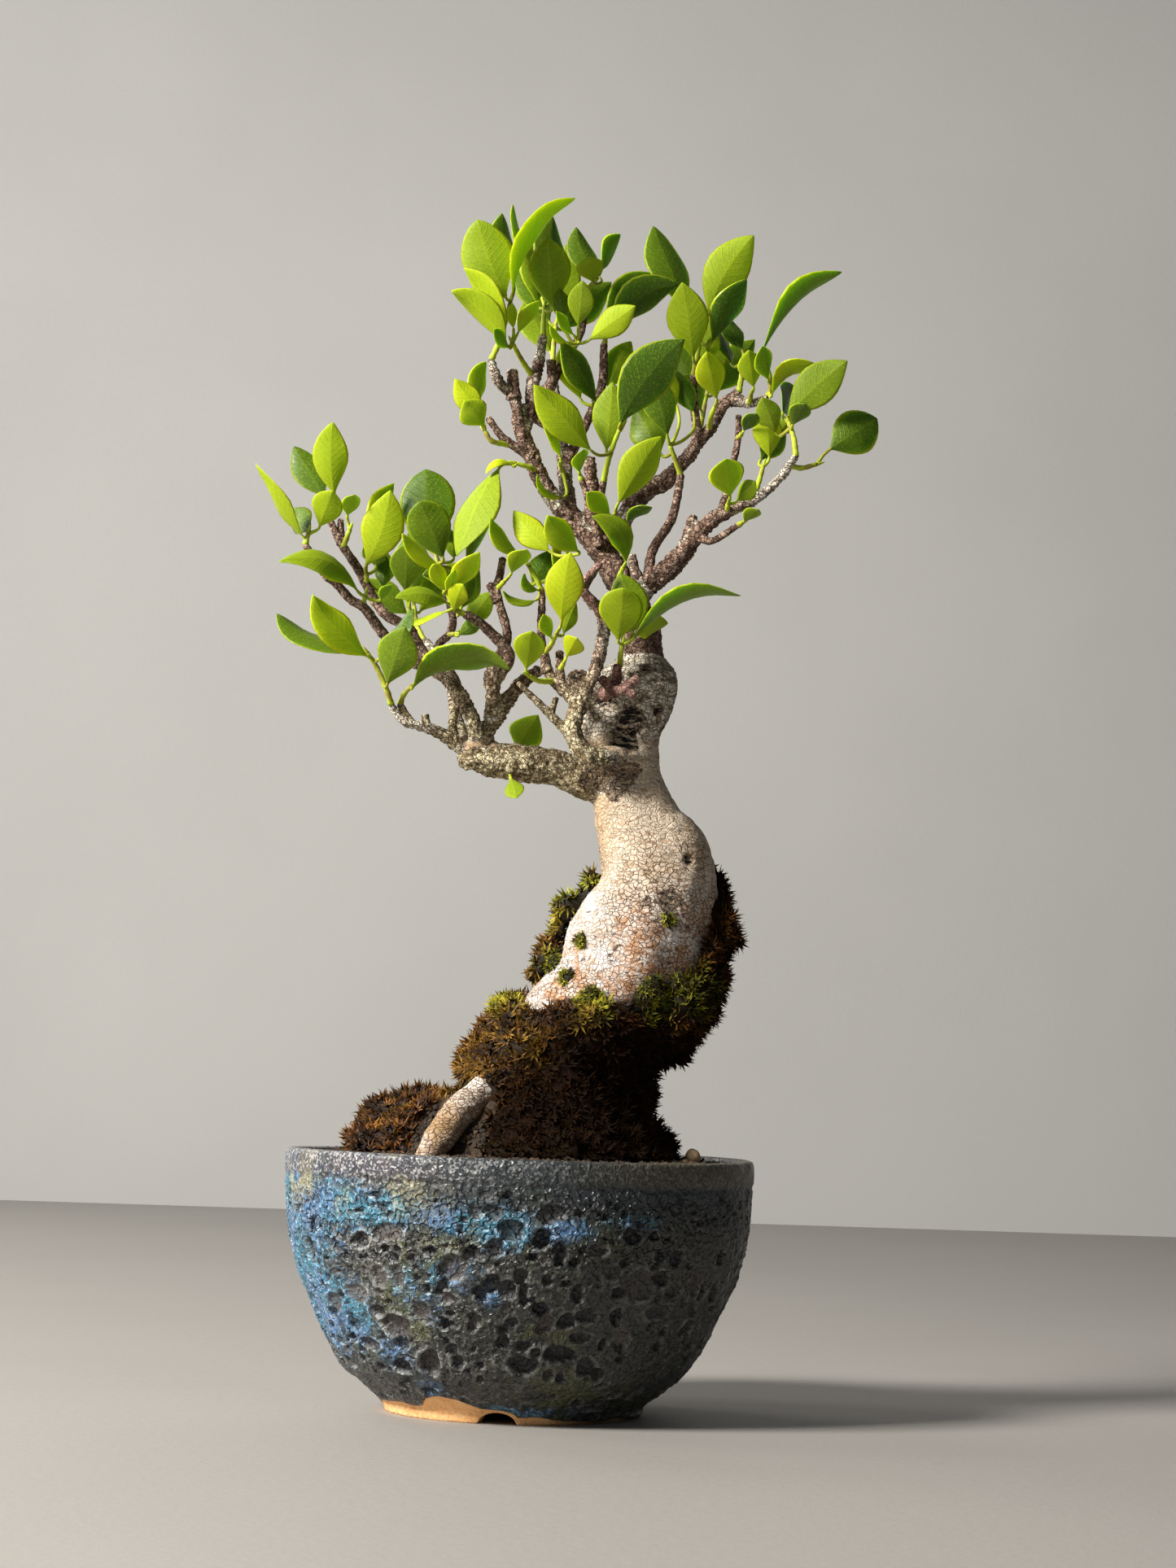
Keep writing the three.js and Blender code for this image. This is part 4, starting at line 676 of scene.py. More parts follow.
# z, left, right, front, back
trunkRows = [[60, -16, 24, -20, 18], [66, -24, 33, -27, 25], [80, -25, 35, -28, 27], [92, -22.5, 34.5, -27, 26],
    [105, -18, 34, -25, 25], [116, -11, 36, -24, 24], [125, -4, 44, -24, 24], [134.5, 1, 55, -24, 24],
    [146, 10, 60, -23, 25], [156, 12, 60.5, -22, 24], [165, 17, 61, -20, 23], [173, 22.5, 60.5, -18, 21],
    [180, 22.5, 59.5, -16, 20], [186, 21.5, 57.5, -14.5, 19], [191, 20.5, 53.5, -13, 18], [196, 20, 48, -12, 16],
    [207, 18, 42, -10.5, 13], [217, 14, 41, -11, 12], [228, 14.5, 45, -12, 13], [237, 18, 46.5, -12, 13],
    [243, 24, 44, -8, 11], [247, 29, 40, -4, 8]]

limbs = {  # x, z, y, thickness
    "rootFrontLeft": [[-2, 108, -12, 13], [-13, 101, -24, 11], [-19, 96, -30, 11], [-24, 90, -36, 10.5],
        [-28.5, 83, -41, 9], [-33, 74, -44, 6], [-37, 66, -45, 3]],
    "rootRight": [[14, 84, 2, 20], [34, 76, 8, 12], [48, 68, 14, 7], [55, 60, 18, 4]],
    "rootBack": [[6, 84, 8, 22], [2, 76, 28, 13], [-4, 67, 42, 7], [-8, 58, 48, 4]],
    "rootFrontRight": [[14, 82, -10, 18], [24, 73, -26, 11], [32, 64, -38, 6], [36, 56, -42, 4]],
    "leftMain": [[30, 203, 2, 14], [16, 204.8, -1, 13], [8, 207.4, -2, 11.8], [-2, 208.8, -4, 11.6],
        [-12, 209.6, -5.5, 10.8], [-18, 210.5, -6, 10], [-22.8, 210.4, -7, 8.4]],
    "leftRise": [[-14, 211.5, -6, 6], [-16, 217.7, -6, 6], [-13, 224, -5, 6], [-9.2, 230, -4, 5],
        [-4.5, 235.5, -2, 4.5], [1, 240, 0, 4]],
    "leftFork": [[-14.5, 220.5, -6, 4.5], [-14.2, 231.5, -8, 5], [-14.7, 238, -10, 5], [-12.3, 243, -9, 4]],
    "leftForkLow": [[-14, 236, -9, 4], [-9.2, 244, -10, 4], [-16.3, 252.5, -12, 3.4], [-20.7, 256, -13, 3],
        [-24, 257.5, -14, 2.8]],
    "leftForkHigh": [[-13.5, 242, -9.5, 3.4], [-10, 250, -7, 3], [-12.8, 261, -5, 2.8], [-14.2, 267, -4, 2.6],
        [-13.3, 270, -4, 2.6], [-12.4, 276.3, -4, 2.4]],
    "leftForkStub": [[-13.6, 262, -5, 2.4], [-16.7, 268, -4, 2.2]],
    "farLeft": [[-20, 211, -7, 5.5], [-24.6, 214, -8, 4.4], [-30.3, 217.8, -10, 4], [-35.8, 219.9, -12, 3.4],
        [-41.5, 220.9, -14, 3], [-45.3, 223.8, -15, 2.6], [-47.2, 227, -16, 2.2]],
    "farLeftFork": [[-40.6, 221, -13.5, 2.4], [-44.4, 227, -14, 2.2]],
    "farLeftStub": [[-35.4, 220, -12, 2.4], [-36, 224, -12, 2.2]],
    "backRise": [[-25.5, 214.5, -6, 4], [-27, 220.5, -2, 3], [-26, 227.5, 1, 2.8], [-26, 234.5, 3, 2.8],
        [-28.5, 239, 4, 2.8], [-32.4, 247, 5, 2.8], [-29.3, 250.5, 6, 2.6], [-28, 255, 8, 2.6], [-30, 263, 12, 2.4],
        [-33, 272, 16, 2.2]],
    "knobbyRise": [[-18, 212, -8, 6], [-20.3, 222.5, -10, 5], [-23.6, 229, -9, 5], [-27, 233, -7, 4.6],
        [-29.5, 237, -5, 4.2]],
    "leftLow": [[-28, 236, -5, 4.2], [-35.8, 239.7, -7, 4], [-39.9, 241, -8, 3.8], [-44.2, 244.5, -9, 3.6],
        [-50.5, 250, -10.5, 3.4], [-57.7, 259, -13, 3.2], [-61.5, 261, -14, 3], [-67, 266.6, -16, 2.8],
        [-70.4, 269, -17.5, 2.6], [-74.8, 275, -19, 2.4], [-77.5, 279, -20, 2.2]],
    "leftHigh": [[-34, 239, -6.5, 4], [-39.6, 247.5, -3, 3.8], [-42.6, 252.5, -1, 3.6], [-50, 256.5, 1, 3.4],
        [-53.8, 261, 2, 3.2], [-59.8, 271.5, 3.5, 3], [-65.8, 280, 5, 2.8], [-70, 288, 6, 2.2]],
    "leftHighFork": [[-65.6, 279.5, 5, 2.4], [-66.2, 287.5, 8, 2]],
    "frontRise": [[35, 210, -5, 9], [27, 211.6, -14, 8.4], [20.5, 211.6, -18, 8], [16, 213.4, -19.5, 7.2],
        [13.2, 218, -19.5, 6.2], [12.8, 223.2, -19.5, 5.6], [14.4, 228.6, -19, 5.2], [17, 235, -20, 4.8],
        [19.4, 241, -21, 4.4], [21, 249, -20.5, 4], [21.6, 255, -19.5, 3.9], [20, 261, -18, 3.9],
        [16.2, 263.8, -17, 3.6], [13.3, 268.3, -16, 3.2], [10, 276.5, -14, 2.4]],
    "frontRiseFork": [[14.2, 267, -16.2, 2.4], [19.4, 275.5, -15, 2]],
    "sideTwig": [[13, 218, -14, 4], [7.6, 222.8, -14.5, 3], [1, 229, -16, 2.4], [-5.9, 235.3, -18, 1.6]],
    "sideTwigStub": [[5, 225, -15, 2], [6.7, 231, -14, 1.8]],
    "deadTwig": [[14, 229.5, -18.5, 4.4], [7.8, 234.7, -14, 4], [4.5, 238, -13, 3.6], [2.5, 245.5, -12, 2.6]],
    "deadTwigFork": [[7.8, 234.7, -14, 3.4], [7.3, 245.8, -12, 2.6]],
    "frontDead": [[22, 258, -19, 3.6], [18.6, 261.9, -21, 3.4], [13.2, 267.8, -23, 3], [10.9, 270.7, -23.5, 2.6],
        [9.2, 276, -24, 2.2]],
    "frontDeadFork": [[13.2, 267.8, -23, 2.6], [16.8, 272.4, -23, 2.4], [19.7, 275.6, -22.5, 2.2]],
    "uprightTwig": [[3.4, 239, -13, 2.8], [1, 252, -12, 2.6], [1, 260, -12, 2.4], [0.9, 265.6, -12, 2.2]],
    "knobTwig": [[23, 233, -8, 4.4], [25, 234, -15.5, 4.2], [29, 234.8, -17.5, 3.8], [33, 238, -17, 3]],
    "knobTwigFork": [[26, 234.5, -15.5, 3.4], [26.4, 242, -17, 2.8]],
    "knobTwigLeft": [[25, 234.5, -15.5, 3.4], [21.4, 237.6, -18, 2.8]],
    "knobTwigLow": [[29, 235, -17, 3], [32.2, 232.8, -18, 2.6]],
    "sawnKnob": [[20, 229, 2, 11], [15, 234, 3, 9.5], [13, 238, 3, 8]],
    "leader": [[34, 240, 1, 15], [34, 248, 2, 13.5], [34, 254, 3, 12.5], [31, 262, 5, 11], [27, 269, 6, 10],
        [23, 276, 7, 9.4], [18, 283, 8, 9], [13, 288, 8, 8.4], [8, 292, 7, 7.6]],
    "leaderLeft": [[11, 289.5, 7.5, 7], [4, 296, 6, 6.4], [-1.8, 306, 5, 6], [-3.9, 311, 4, 5.6], [-7.5, 319, 3, 5],
        [-8.9, 325, 2, 4.6], [-10.9, 331, 1, 4.2], [-14.2, 334, -1, 3.8], [-16.7, 337.3, -3, 3.4],
        [-18.4, 343, -4, 3]],
    "leaderLeftStub": [[-10.5, 330, 1, 4], [-11.4, 339.5, 2, 3.6]],
    "leaderLeftTwig": [[-4, 311, 4, 4], [-7.7, 313, 3, 3.4], [-13.4, 316.5, 1.5, 2.8], [-18.6, 323, 1, 2.4]],
    "crownLeft": [[-7, 319, 3, 5], [-4.7, 325, 4, 4.6], [-5, 329.5, 4, 4.4], [-4.7, 334.5, 4, 4.2],
        [-2.6, 342, 4, 3.8], [-1.5, 351.5, 4, 2.8]],
    "crownLeftTwig": [[-4, 324, 4.5, 2.4], [1.1, 320.5, 6, 2.2], [5.3, 317, 8, 2]],
    "crownMidStub": [[-3.8, 331.5, 4, 3.8], [1.4, 334.5, 3, 3.6], [1.4, 343.5, 2, 3.2]],
    "crownMid": [[1, 334, 3.2, 3.2], [6, 344, 3, 2.6], [10.8, 352.5, 3, 2.4], [12.4, 366.5, 2, 2]],
    "leaderMid": [[9.5, 291, 8, 6], [7.8, 301.7, 12, 4.2], [7.5, 311, 13, 3.8], [3, 322, 14, 3]],
    "crownRight": [[7.5, 309, 13, 3.4], [12, 319, 12, 3.2], [16, 328, 9, 3], [18.5, 336, 8, 3], [18.7, 349, 8, 2.6]],
    "greyStub": [[17, 286, 6, 6], [16.5, 300, 4, 5], [14.8, 310.5, 3, 4.4]],
    "thinRise": [[19.4, 282, 3, 3], [17, 291.3, -1, 2.4], [12.8, 303.5, -2, 2]],
    "thinRiseFork": [[17.6, 289.5, 0, 2.4], [20, 303, 1, 2.2]],
    "rightUpper": [[20.5, 280, 8, 7.5], [27.8, 292.4, 8, 6.4], [31.4, 299, 9, 6], [40.5, 304, 10, 5.4],
        [50.6, 316.7, 12, 4.8], [54.3, 321.3, 12, 4.6], [58.4, 329.8, 11, 4.2], [61, 332, 10, 4], [68.4, 331, 6, 3],
        [73.5, 333.6, 0, 2.4]],
    "rightUpperStub": [[60, 331, 10, 3.6], [63.8, 334.5, 9, 3.4]],
    "rightUpright": [[50.8, 318, 12, 3.4], [49, 331, 13, 2.8], [48.7, 339.5, 14, 2.4]],
    "riser": [[36, 268.5, -2, 4], [36.6, 280, 1, 3.2], [43, 292, 3, 3], [45.4, 306, 4, 2.6]],
    "rightLower": [[30, 262, 2, 9], [36, 269.5, -2, 7.6], [40, 272.5, -3, 7], [46, 279, -5, 6.4],
        [51.5, 286.5, -8, 6], [57.5, 292.5, -11, 5], [63.4, 295.2, -12, 4], [68.9, 298, -13, 3.4],
        [77.6, 305.6, -14, 3], [83.2, 313.6, -16, 2.2]],
    "rightLowerKnob": [[48, 282, -6, 5], [49.7, 292.5, -6, 4]],
    "rightLowerStub": [[34, 268.5, 0, 4], [31.5, 273, -2, 3.4], [30, 279, -2, 3]],
    "rightBranchlet": [[52, 286, -9, 3], [56, 284.5, -12, 2.4], [64.7, 290, -14, 2]],
    "rightTwig": [[59, 293.5, -11, 2.8], [61, 303, -6, 2.4], [64, 319.5, -2, 2.2], [63.9, 326.5, 0, 2]],
    "backRight": [[27.8, 292.4, 9, 6], [36, 301.5, 26, 5], [45, 309, 38, 4], [50.6, 318, 44, 3]],
    "backCrown": [[8.2, 296, 9, 5], [6.7, 307, 26, 4.4], [5, 322, 36, 3.8], [2, 340, 40, 3]],
    "backLeft": [[-22, 211.5, -3, 6], [-26, 224, 18, 4.6], [-30, 240, 32, 3.8], [-37, 248, 40, 3]],
}


# old cuts, knot holes and stains, and painted shade under the front limb's bend (the four at x 20 to 31, z 204 to
# 213): x, z, y on the bark, radius, depth, blackness
scarsAndShade = [[31.4, 224, -11, 6.2, 1.7, 1.0], [29.5, 217, -10, 6.0, 1.2, 0.9], [40.5, 228, -9, 2.6, 0.8, 0.7],
    [51, 178.6, -12, 2.4, 1.6, 0.7], [44.5, 192.2, -12.5, 1.3, 0.4, 0.5], [45.5, 165.5, -18, 5.2, 0.6, 0.44],
    [38.5, 164, -18, 3.4, 0.4, 0.36], [13.2, 238.5, 0, 3.2, 0.8, 0.5], [21.5, 231, -10, 3.4, 1.4, 0.9],
    [36, 240.5, -8, 3.6, 1.0, 0.8], [39.5, 234.5, -7, 2.8, 1.0, 0.8], [26, 238.5, -10, 3.4, 1.0, 0.8],
    [42.5, 221, -3, 2.6, 0.8, 0.7], [26, 205.5, -12, 8.5, 0.5, 0.39], [20, 204.5, -11, 7, 0.4, 0.38],
    [31, 208, -12, 5, 0.3, 0.37], [27.5, 212.5, -10, 4, 0.3, 0.39], [14, 150, -16, 1.4, 0.5, 0.6],
    [27, 143.5, -19, 1.5, 0.5, 0.6], [33, 137.5, -21, 1.6, 0.5, 0.6], [22, 136, -21, 1.5, 0.5, 0.6]]


def trunkWave(a, z):  # shallow flutes, quieter on the outline, fuller in front
    flute = 0.030 * math.sin(3 * a + z * 0.045 + 0.6) + 0.022 * math.sin(5 * a - z * 0.07)
    flute += 0.016 * math.sin(9 * a + z * 0.05 + 1.0) * smoothStep(200 - z, 0, 60)
    return 1 + flute * (0.5 + 0.5 * abs(math.sin(a)))


def trunkTube():
    rows = catmull(trunkRows, 8)
    return stackTube(rows[rows[:, 0] > wood["buriedBelow"]], wood["trunkSides"], trunkWave)


def limbLine(rows, steps):
    line = catmull([[*at(x, z, y), d] for x, z, y, d in rows], steps)
    return line[:, :3], line[:, 3] / 2


def barkRelief():  # pushes the bark along its normal: broad lumps, upright ridges, cross wrinkles
    tree, ports, given, out = newShaper("barkRelief", **barkSizes)
    place = addNode(tree, "GeometryNodeInputPosition").outputs[0]
    normal = addNode(tree, "GeometryNodeInputNormal").outputs[0]
    bent = bend(place, 70.0, 2.0, 0.006)
    lumps = minus(noiseNode(place, 85.0, 2.0), 0.5)
    ridges = minus(noiseNode(stretch(bent, 1.0, 1.0, 0.22), 260.0, 3.0, 0.6), 0.5)
    wrinkles = minus(noiseNode(stretch(bent, 0.45, 0.45, 1.7), 420.0, 2.0, 0.5), 0.5)
    crust = mathNode("MINIMUM", cellNode(bent, 560.0, "DISTANCE_TO_EDGE").outputs["Distance"], 0.22)
    push = timesPlus(minus(crust, 0.12), given["Flakes"], times(ridges, given["Ridges"]))
    push = times(push, timesPlus(namedField(tree, "tone"), 1.2, 0.15))
    push = timesPlus(lumps, given["Lumps"], push)
    push = timesPlus(wrinkles, given["Wrinkles"], push)
    offset = vectorNode("SCALE", normal, scale=push)
    move = addNode(tree, "GeometryNodeSetPosition", {"Geometry": given["Geometry"], "Offset": offset})
    plug(out, move.outputs[0])
    return tree, ports


def markScarsAndShade(mesh):  # dents the bark and darkens it
    count = len(mesh.vertices)
    co, normals = np.empty(count * 3, np.float32), np.empty(count * 3, np.float32)
    mesh.vertices.foreach_get("co", co)
    mesh.vertex_normals.foreach_get("vector", normals)
    co, normals = co.reshape(-1, 3), normals.reshape(-1, 3)
    mm = (co - potAxis) * 1000
    scar = np.zeros(count)
    ragged = np.array([noise.noise(Vector(p) * 0.35) + 0.6 * noise.noise(Vector(p) * 0.9) for p in mm])
    # each entry is a scar, knot hole or stain, or painted shade under the front limb's bend
    for x, z, y, radius, depth, black in scarsAndShade:
        away = np.linalg.norm((mm - at(x, z, y)) * np.array([1, 0.8, 1]), axis=1) / radius
        shape = np.clip(1 - away + 0.30 * ragged * (away < 1.3), 0, 1)
        scar = np.maximum(scar, np.minimum(shape * 1.3, black))
        co -= (normals * (shape * depth * 0.001)[:, None]).astype(np.float32)
    mesh.vertices.foreach_set("co", co.ravel())
    mesh.update()
    addAttributes(mesh, scar=scar, cut=0)


def barkMaterial():
    material, shader, place = newMaterial("figBark")
    across, deep, height = splitNode(place)
    bent = bend(place, 130.0, 3.0, 0.005)
    cells = cellNode(stretch(bent, 1.0, 1.0, 1.25), 560.0, "DISTANCE_TO_EDGE")
    cracks = ramp(cells.outputs["Distance"], 0.0, 0.10, 1.0, 0.0)
    flecks = noiseNode(stretch(bent, 1.0, 1.0, 0.7), 820.0, 2.0, 0.5)
    wrinkles = noiseNode(stretch(bent, 0.30, 0.30, 1.5), 620.0, 3.0, 0.6)
    upright = noiseNode(stretch(bent, 1.4, 1.4, 0.28), 620.0, 3.0, 0.6)
    blotch = noiseNode(place, 75.0, 4.0, 0.6)
    patch = noiseNode(place, 34.0, 3.0, 0.55)
    grain = speckle(place, 1700.0)
    lumps = noiseNode(bent, 300.0, 3.0, 0.65)
    tone, scar, cut = fields(place, "tone", "scar", "cut")
    # pale smooth trunk: nearly white on the bulge, partly its pale bark and partly a painted highlight, cream above,
    # cracked and tan to the right and below
    paleHighlitBulge = ramp(timesPlus(patch, 0.02, height), 0.190, 0.166)
    cream = mixColor(paleHighlitBulge, (0.70, 0.575, 0.430), (0.80, 0.750, 0.700))
    cream = mixColor(ramp(blotch, 0.47, 0.64, 0.0, 0.4), cream, (0.58, 0.43, 0.300))
    leftEdge = times(ramp(across, 0.021, 0.011), ramp(height, 0.166, 0.180))
    cream = mixColor(times(leftEdge, 0.8), cream, (0.56, 0.375, 0.205))
    dense = timesPlus(ramp(height, 0.152, 0.128), 0.8, ramp(across, 0.010, 0.045))
    dense = timesPlus(minus(patch, 0.5), 2.4, dense)
    dashes = ramp(timesPlus(dense, 0.06, flecks), 0.62, 0.69, 0.0, 0.8)
    cream = mixColor(dashes, cream, (0.34, 0.215, 0.125))
    cream = mixColor(ramp(wrinkles, 0.53, 0.63, 0.0, 0.7), cream, (0.42, 0.270, 0.155))
    lines = times(ramp(upright, 0.54, 0.64), timesPlus(leftEdge, 0.5, 0.25))
    cream = mixColor(lines, cream, (0.34, 0.200, 0.105))
    stainZ = times(ramp(height, 0.122, 0.132), ramp(height, 0.150, 0.176, 1.0, 0.0))
    stain = times(stainZ, ramp(noiseNode(place, 95.0, 5.0, 0.75), 0.41, 0.55))
    stain = times(stain, ramp(dense, -0.2, 0.5))
    stainHere = times(stain, ramp(lumps, 0.38, 0.60, 0.45, 0.95))
    cream = mixColor(stainHere, cream, (0.44, 0.205, 0.080))
    crackHere = times(ramp(dense, -0.1, 0.6), ramp(height, 0.200, 0.165, 0.15, 1.0))
    crackHere = times(crackHere, ramp(blotch, 0.40, 0.54, 0.35, 0.95))
    cream = mixColor(times(cracks, crackHere), cream, (0.075, 0.042, 0.022))
    specks = ramp(noiseNode(stretch(bent, 0.6, 0.6, 1.4), 400.0, 1.0, 0.4), 0.70, 0.73)
    cream = mixColor(times(specks, times(paleHighlitBulge, 0.85)), cream, (0.060, 0.040, 0.028))
    lowRoot = ramp(height, 0.108, 0.090)
    cream = mixColor(times(lowRoot, ramp(blotch, 0.36, 0.58, 0.45, 1.0)), cream, (0.42, 0.260, 0.125))
    cream = mixColor(times(ramp(height, 0.115, 0.104), times(cracks, 0.8)), cream, (0.110, 0.060, 0.028))
    low = times(ramp(height, 0.124, 0.112), ramp(deep, 0.004, 0.012, 0.0, 0.9))
    cream = mixColor(low, cream, (0.20, 0.120, 0.060))
    # rough older bark: grey at the head of the trunk, olive on low limbs, reddish on high twigs
    high = ramp(height, 0.219, 0.250)
    brown = mixColor(high, (0.270, 0.200, 0.100), (0.165, 0.090, 0.060))
    light = mixColor(high, (0.82, 0.700, 0.440), (0.50, 0.335, 0.245))
    brown = mixColor(ramp(timesPlus(flecks, 0.5, times(lumps, 0.5)), 0.46, 0.57), brown, light)
    brown = mixColor(times(cracks, 0.55), brown, (0.045, 0.027, 0.016))
    brown = mixColor(ramp(blotch, 0.54, 0.72, 0.0, 0.45), brown, (0.120, 0.070, 0.042))
    grey = mixColor(ramp(lumps, 0.36, 0.56), (0.36, 0.280, 0.190), (0.80, 0.715, 0.580))
    grey = mixColor(ramp(wrinkles, 0.54, 0.62, 0.0, 0.75), grey, (0.16, 0.105, 0.062))
    grey = mixColor(times(cracks, 0.6), grey, (0.070, 0.045, 0.028))
    wander = times(minus(blotch, 0.5), 0.5)
    toneHere = plus(tone, wander)
    color = mixColor(ramp(toneHere, 0.12, 0.38), cream, grey)
    color = mixColor(ramp(toneHere, 0.60, 0.85), color, brown)
    color = mixColor(ramp(tone, 1.3, 1.5), color, mixColor(ramp(lumps, 0.38, 0.60), (0.17, 0.075, 0.055),
        (0.52, 0.300, 0.240)))  # dead twig ends
    color = mixColor(times(ramp(grain, 0.54, 0.70), ramp(toneHere, 0.0, 0.5, 0.10, 0.35)), color,
        (0.12, 0.08, 0.05))
    # darkened at the scars and knot holes, and by the painted shade under the front limb's bend
    edge = plus(times(minus(lumps, 0.5), 0.9), times(minus(flecks, 0.5), 0.9))
    ragged = plus(times(edge, ramp(scar, 0.0, 0.1)), scar)
    color = mixColor(ramp(ragged, 0.16, 0.32, 0.0, 0.82), color, (0.105, 0.060, 0.030))
    strands = ramp(wrinkles, 0.50, 0.58)
    hollow = mixColor(strands, (0.012, 0.009, 0.007), (0.46, 0.36, 0.25))
    color = mixColor(ramp(ragged, 0.40, 0.50), color, hollow)
    color = mixColor(ramp(cut, 0.4, 0.7), color, (0.66, 0.60, 0.50))
    rough = ramp(toneHere, 0.1, 0.7, 0.32, 1.3)
    relief = timesPlus(cracks, -0.7, timesPlus(flecks, -0.5, lumps))
    relief = times(timesPlus(grain, 0.25, relief), rough)
    relief = timesPlus(wrinkles, -0.8, relief)
    finish(shader, color, ramp(blotch, 0.3, 0.7, 0.62, 0.85), bumpNode(relief, 0.0013, 1.0),
        {"Specular IOR Level": 0.3})
    return material


bark = barkMaterial()
heavyParts, twigParts, heavyLines = [trunkTube()], [], []
twigTone, twigCut = [], []
for limbIndex, (limbName, rows) in enumerate(limbs.items()):
    thickest = max(row[3] for row in rows)
    if thickest >= wood["heavyFrom"]:
        path, radii = limbLine(rows, 7)
        wobble = np.array([noise.noise(Vector(p) * 0.16 + Vector((limbIndex, 0, 0))) for p in path])
        if path[-1][2] > wood["crownFrom"]:
            outside = len(path) // 6  # leave out the start, which lies in the trunk
            heavyLines.append((path[outside:], radii[outside:]))
        heavyParts.append(sweep(path, radii * (1 + wood["unevenness"] * wobble), wood["limbSides"], 0.5))
        continue
    path, radii = limbLine(rows, 12)
    travelled = lengthAlong(path)
    every = wood["twigKnobEvery"] * (0.8 + 0.4 * ((limbIndex * 0.37) % 1))
    knob = np.exp(-(((travelled + limbIndex) % every) / every - 0.5) ** 2 / 0.012)
    wobble = np.array([noise.noise(Vector(p) * 0.45 + Vector((0, limbIndex, 0))) for p in path])
    flare = 1 + wood["twigFlare"] * np.exp(-travelled / wood["flareLength"])
    radii = radii * flare * (1 + wood["twigKnob"] * knob + wood["unevenness"] * wobble)
    part = sweep(path, radii, wood["twigSides"], 0.0 if "Stub" in limbName else 0.6)
    twigParts.append(part)
    ends = np.zeros(len(part[0]))
    if "Stub" in limbName:
        ends[-wood["twigSides"]:] = 1
    twigCut.extend(ends)
    dead = limbName.startswith(("knobTwig", "frontDead"))
    twigTone.extend([1.6 if dead else 0.95 + 0.1 * math.sin(limbIndex * 1.7)] * len(part[0]))

treeWood = addMesh("treeWood", *gather(heavyParts), bark)
addModifier(treeWood, "REMESH", mode="VOXEL", voxel_size=wood["voxel"], use_smooth_shade=True)
addModifier(treeWood, "CORRECTIVE_SMOOTH", use_only_smooth=True, iterations=wood["smoothing"], factor=0.5)
bakeModifiers(treeWood)
placeMm = meshPlaces(treeWood.data)
tone = 0.42 * smoothStep(placeMm[:, 2], 206, 226)  # the trunk's head is greyer and rougher
branchBase = smoothStep(placeMm[:, 2], 196, 205) * smoothStep(214 - placeMm[:, 2], 0, 5)
tone = np.maximum(tone, 0.9 * branchBase * smoothStep(31 - placeMm[:, 0], 0, 8) * (placeMm[:, 1] < 10))
limbTree = KDTree(sum(len(path) for path, _ in heavyLines))
limbRadii = []
for path, radii in heavyLines:
    for p, r in zip(path, radii):
        limbTree.insert(p, len(limbRadii))
        limbRadii.append(r)
limbTree.balance()
for i, p in enumerate(placeMm):
    if p[2] > wood["crownFrom"]:
        _, hit, gap = limbTree.find(p)
        tone[i] = max(tone[i], 0.95 * float(smoothStep(np.array(limbRadii[hit] * 1.5 - gap), 0, 1.5)))
addAttributes(treeWood.data, tone=tone)
runShaper(treeWood, *barkRelief(), **barkSizes)
addModifier(treeWood, "DECIMATE", ratio=min(1.0, 2 * wood["faceBudget"] / max(1, triangles(treeWood))))
bakeModifiers(treeWood)
shadeSmooth(treeWood.data)
markScarsAndShade(treeWood.data)
treeWood.data.materials.clear()
treeWood.data.materials.append(bark)
claim(treeWood, "bark", "tree_wood")

twigs = addMesh("twigs", *gather(twigParts), bark)
addAttributes(twigs.data, tone=twigTone, cut=twigCut, scar=0)
claim(twigs, "bark", "tree_wood")
print("wood:", triangles(treeWood), "triangles, twigs:", triangles(twigs))

# the moss cushions, the earth under them and its crumbs

moss = dict(voxel=0.0013, lump=0.0105, lumpSize=0.010, midLevel=0.58, keepFaces=0.45, leaflets=9, seed=21,
    barkGap=0.0011)
tuftSizes = dict(Spacing=0.00215, Size=0.0030, Tilt=0.55)
cushionSizes = dict(Spacing=0.0010, Size=0.0016, Tilt=0.4, Seed=77)
# green patches: x, z, radius
greenPatches = [[-7, 131, 6], [22, 130, 7], [41, 133, 9], [14, 168, 9], [6, 144, 5], [9, 160, 8], [56, 136, 9],
    [47, 137, 7]]
# golden patches: x, z, radius; the golden moss is partly its own colour, partly painted light where the light falls
# from the left
goldAndLitPatches = [[-4, 121, 11], [1, 138, 6], [-14, 112, 9], [-21, 98, 8], [4, 114, 9], [-16, 104, 8], [20, 126, 5],
    [3, 149, 5], [8, 158, 7], [2, 140, 4]]
# little cushions on the bark: x, z, radius
cushionShape = dict(rings=5, around=12, flatness=0.62, reach=math.pi * 0.62, uneven=0.15)
barkCushions = [[17.5, 151.6, 2.4], [13.2, 139.4, 2.8], [45.7, 159.2, 2.0], [9.4, 144.4, 4.0], [21.5, 130.5, 5.4],
    [40.5, 135.5, 5.4], [-6.5, 131, 4.6]]


def cadCopy(node, name):  # a merged copy of a CAD node's mesh
    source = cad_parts[node]
    mesh = source.data.copy()
    mesh.transform(source.matrix_world)
    mesh.materials.clear()
    reshape(mesh, lambda work: bmesh.ops.remove_doubles(work, verts=work.verts, dist=1e-6))
    for attribute in [a.name for a in mesh.attributes if a.domain == "CORNER" and not a.is_internal]:
        mesh.attributes.remove(mesh.attributes[attribute])
    return addObject(name, mesh)


